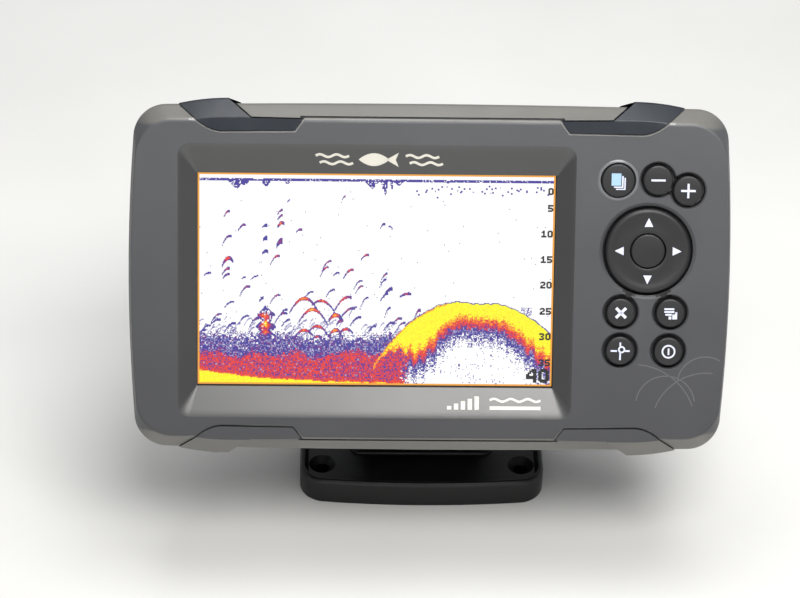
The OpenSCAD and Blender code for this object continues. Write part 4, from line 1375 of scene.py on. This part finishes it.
def add_fish(echo):
    for fish in FISH:
        echo = np.maximum(echo, arch(*fish))
    # small faint arches just above the haze
    for _ in range(70):
        x = RNG.uniform(-53, 11)
        z = RNG.uniform(-18.5, -14.0) + (2.2 * RNG.random() if x < -5 else 0)
        w, h = RNG.uniform(0.8, 1.9), RNG.uniform(0.6, 1.5)
        peak, lean = RNG.uniform(0.28, 0.4), RNG.uniform(0.3, 1.1)
        echo = np.maximum(echo, 0.72 * arch(x, z, w, h, peak, 0.28, lean))
    # a tight school that stands like a column
    d = np.hypot((X + 33.3) / (2.2 + 0.7 * np.sin(Z * 1.6)), (Z + 13.6) / 5.2)
    v = 0.90 - 0.56 * d + 0.34 * (SOFT - 0.5) + 0.24 * (GRAIN - 0.5)
    school = (d < 1.08) & (GRAIN_2 > 0.10 + 0.5 * np.clip(d - 0.8, 0, 1))
    return strengthen(echo, school, np.maximum(v, 0.3))


def add_haze(echo):
    """Haze over the bottom on the left: specks, then dense blue, then red and purple."""
    depth = -16.4 + 1.7 * (BROAD - 0.5) + 0.9 * (SOFT - 0.5) - Z
    cover = np.clip(0.10 + depth / 2.7, 0, 0.96 + 0.04 * np.clip(depth - 4, 0, 1))
    v = banded(GRAIN_2, (0.24, 0.88), (PALE, NAVY, PURPLE))
    w = np.clip((depth - 5.9) / 1.7 + 1.1 * (BROAD - 0.5), 0, 1)
    v = np.where(GRAIN_3 < 0.60 * w, RED, np.where(GRAIN_3 < 0.90 * w, PURPLE, v))
    haze = (depth > -0.8) & (GRAIN < cover) & (X < 20)
    return np.where(haze & ((echo < 0.5) | (depth > 3)), v, echo)


def add_hump(echo):
    rim = np.interp(X, RIM_X, RIM_Z) + 0.10 * np.sin(X * 2.1)
    slope = np.abs(np.gradient(rim, axis=1)) / CELL
    depth = (rim - Z) / np.sqrt(1 + slope**2)
    under = depth - np.interp(X, BAND_X, BAND_THICK) + 0.7 * (SOFT - 0.5)
    rough = under + 2.0 * (GRAIN_2 - 0.5)
    v = banded(rough, (-0.3, 0.8, 2.5, 3.2), (YELLOW, ORANGE, RED, PURPLE, NAVY))
    v = np.where((v == NAVY) & (GRAIN_3 < 0.3), PALE, v)
    fill = np.clip(1.28 - (under - 3.0) / 5.2, 0.035, 1)
    v = np.where((under > 2.6) & (GRAIN > fill), 0.0, v)
    # under its left flank the red and purple go on
    mud = banded(GRAIN_3, (0.56, 0.86), (RED, PURPLE, NAVY))
    v = np.where(GRAIN < np.clip((10.6 - X) / 3.2, 0, 1) * (under > 0.5), mud, v)
    skin = (depth > 0) & (depth < 0.38) & (X < 22) & (GRAIN_3 > 0.25)
    v = np.where(skin, ORANGE, v)
    echo = np.where((depth > 0) & (X > -0.6), v, echo)
    return np.where((depth > -0.28) & (depth <= 0) & (X > 9), NAVY, echo), rim


def add_bed(echo):
    """The bottom on the left falls away to the right, and lies over haze and hump."""
    bed = np.interp(X, BED_X, BED_Z) + 0.35 * (SOFT - 0.5)
    fringe = (Z < bed + 0.9) & (Z >= bed + 0.3) & (X < 9.2) & (GRAIN > 0.3)
    echo = np.where(fringe, RED, echo)
    skin = (Z < bed + 0.3) & (Z >= bed) & (X < 9.0)
    echo = np.where(skin, np.where(GRAIN_2 > 0.5, ORANGE, RED), echo)
    return np.where((Z < bed) & (X < 8.6), YELLOW, echo)


def write_number(image, text, row, size):
    """Block digits set against the right edge; row is their top and size the cells per dot."""
    for k, char in enumerate(reversed(text)):
        col = COLS - 1 - 7 * size * (k + 1)
        for r, bits in enumerate(GLYPHS[char].split()):
            for c, bit in enumerate(bits):
                if bit == "#":
                    y, x = row + r * size, col + c * size
                    image[y : y + size, x : x + size] = DIGIT_COLOUR


def paint():
    echo = add_haze(add_fish(add_surface(np.zeros((ROWS, COLS)))))
    echo, rim = add_hump(echo)
    echo = add_bed(echo)
    # a few dots over the hump's right flank
    spot = (np.abs(X - 46) < 1.6) & (np.abs(Z + 9.4) < 1.2) & (Z > rim)
    echo = np.where((echo < 0.1) & spot & (FINE > 0.5), NAVY, echo)

    image = ECHO_COLOURS[np.searchsorted(ECHO_EDGES, echo)]
    clear = echo[..., None] < ECHO_EDGES[0]
    image = np.where(clear, image, image * (0.95 + 0.10 * FINE[..., None]))
    for k, z in enumerate(DEPTH_LABELS_Z):
        write_number(image, str(5 * k), int((PICTURE_H - z) / CELL), size=1)
    write_number(image, "40", ROWS - 20, size=2)
    border = (np.abs(X) > PICTURE_W - BORDER) | (np.abs(Z) > PICTURE_H - BORDER)
    image = np.where(border[..., None], np.array(BORDER_COLOUR, float), image)
    return np.clip(image, 0, 255)


def build_screen():
    xs = np.linspace(-PICTURE_W, PICTURE_W, COLS + 1) + SCREEN_X
    zs = np.linspace(PICTURE_H, -PICTURE_H, ROWS + 1) + SCREEN_Z
    gx, gz = np.meshgrid(xs, zs)
    verts = np.stack([gx.ravel(), np.full(gx.size, PICTURE_Y), gz.ravel()], 1)
    i, j = np.mgrid[0:ROWS, 0:COLS]
    a = (i * (COLS + 1) + j).ravel()
    faces = np.stack([a, a + COLS + 1, a + COLS + 2, a + 1], 1)
    mesh = bpy.data.meshes.new("lit_picture")
    mesh.vertices.add(len(verts))
    mesh.vertices.foreach_set("co", verts.ravel())
    mesh.loops.add(faces.size)
    mesh.loops.foreach_set("vertex_index", faces.ravel())
    mesh.polygons.add(len(faces))
    mesh.polygons.foreach_set("loop_start", np.arange(0, faces.size, 4))
    mesh.update(calc_edges=True)
    colours = mesh.color_attributes.new("picture", "FLOAT_COLOR", "CORNER")
    rgba = np.ones((ROWS * COLS, 4, 4), np.float32)
    rgba[:, :, :3] = to_linear(paint() / 255).reshape(-1, 1, 3)
    colours.data.foreach_set("color", rgba.ravel())
    mesh.transform(UNIT)
    mesh.materials.append(picture_light())
    o = bpy.data.objects.new("lit_picture", mesh)
    bpy.context.scene.collection.objects.link(o)
    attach(o, "unit")


build_screen()

# ---------------------------------------------------------------- looks of the nodes that stay
# material, edge radius in mm (0 for none), bevel segments, nodes
CAD_LOOKS = (
    (window_glass(), 0, 2, "display_window"),
    (panel_black(), 0, 2, "lcd_panel"),
    (MAT["rubber"], 0, 2, "window_gasket socket_seals case_seal"),
    (MAT["mat"], 0, 2, "keypad_mat"),
    (MAT["board"], 0, 2, "main_board keypad_board"),
    (MAT["tin"], 0.15, 2, "chassis_plate processor_shield card_socket"),
    (MAT["steel"], 0.12, 2, "board_screws case_screws catch_screw catch_spring door_pin"),
    (MAT["steel"], 0.12, 2, "dome_switches pivot_nut"),
    (MAT["steel"], 0.25, 2, "pivot_bolt"),
    (MAT["gold"], 0.1, 2, "power_pins sonar_pins"),
    (MAT["black"], 0.25, 2, "power_socket sonar_socket"),
    (MAT["black"], 0.2, 2, "buzzer"),
    (MAT["ceramic"], 0.3, 2, "gps_antenna"),
    (MAT["ribbon"], 0, 2, "keypad_ribbon lcd_ribbon"),
    (MAT["guide"], 0.1, 2, "key_guide cursor_rocker"),
    (MAT["washer"], 0, 2, "friction_washers"),
    (MAT["bracket"], 0.4, 3, "tilt_shoe release_button"),
    (MAT["cover"], 0.2, 2, "card_door"),
)
for material, radius, segments, names in CAD_LOOKS:
    for name in names.split():
        node = NODES[name]
        for slot in node.material_slots:
            slot.material = material
        if radius:
            round_edges(node, radius, segments, angle=40)
            flatten_shading(node)


# ---------------------------------------------------------------- stage, light and camera, m
def build_floor(half=3.0):
    corners = [(-half, -half, 0), (half, -half, 0), (half, half, 0), (-half, half, 0)]
    floor = mesh_object("floor", corners, [(0, 1, 2, 3)])
    floor.data.materials.append(pale_floor())


def build_world():
    """Soft sky; the camera sees a paler backdrop than the one that lights the object."""
    world = bpy.data.worlds.new("studio")
    bpy.context.scene.world = world
    n = Shader(world)
    sky = n.find("BACKGROUND")
    source = n.add("ShaderNodeTexCoord")
    split = n.add("ShaderNodeSeparateXYZ")
    n.link(source.outputs["Generated"], split.inputs[0])
    height = n.span(split.outputs["Z"], 0.0, 1.0, over=(-1, 1))
    colour = n.ramp(height, (0.62, 0.63, 0.65), (0.95, 0.96, 0.98), at=(0.5, 1.0))
    n.link(colour, sky.inputs["Color"])
    sky.inputs["Strength"].default_value = 0.45
    pale = n.add("ShaderNodeBackground")
    pale.inputs["Color"].default_value = (0.995, 1.0, 0.995, 1)
    pale.inputs["Strength"].default_value = 0.878
    camera_ray = n.add("ShaderNodeLightPath").outputs["Is Camera Ray"]
    n.mix_into(n.find("OUTPUT_WORLD"), camera_ray, sky.outputs[0], pale.outputs[0])


def area_light(name, location, target, size, power, colour=(1, 1, 1)):
    light = bpy.data.lights.new(name, "AREA")
    light.shape, light.energy, light.color = "RECTANGLE", power, colour
    light.size, light.size_y = size
    o = bpy.data.objects.new(name, light)
    o.location = location
    aim = Vector(target) - Vector(location)
    o.rotation_euler = aim.to_track_quat("-Z", "Y").to_euler()
    o.visible_camera = False
    bpy.context.scene.collection.objects.link(o)


def build_camera():
    camera = bpy.data.objects.new("camera", bpy.data.cameras.new("camera"))
    bpy.context.scene.collection.objects.link(camera)
    bpy.context.scene.camera = camera
    right = Vector((0.99965619, -0.01396864, 0.02218965))
    up = Vector((-0.00839337, 0.63127017, 0.77551758))
    forward = Vector((0.02484059, 0.7754372, -0.63093589))
    turn = Matrix((right, up, -forward)).transposed().to_4x4()
    camera.matrix_world = Matrix.Translation((-0.02849658, -0.64594278, 0.58227692)) @ turn
    camera.data.sensor_width = 36
    camera.data.lens = 116.1
    camera.data.clip_start, camera.data.clip_end = 0.05, 20


build_floor()
build_world()
area_light(
    "key_light", location=(0.18, -0.47, 0.86), target=(0, 0, 0.10), size=(0.55, 0.35), power=8.0,
    colour=(1.0, 0.985, 0.96),
)
area_light(
    "top_light", location=(0.05, 0.10, 0.95), target=(0, 0.0, 0.1), size=(0.7, 0.4), power=6.0
)
area_light(
    "front_fill", location=(0.0, -0.95, 0.16), target=(0, 0, 0.05), size=(0.9, 0.25), power=1.2,
    colour=(1.0, 0.97, 0.93),
)
build_camera()
bpy.context.scene.view_settings.view_transform = "Standard"
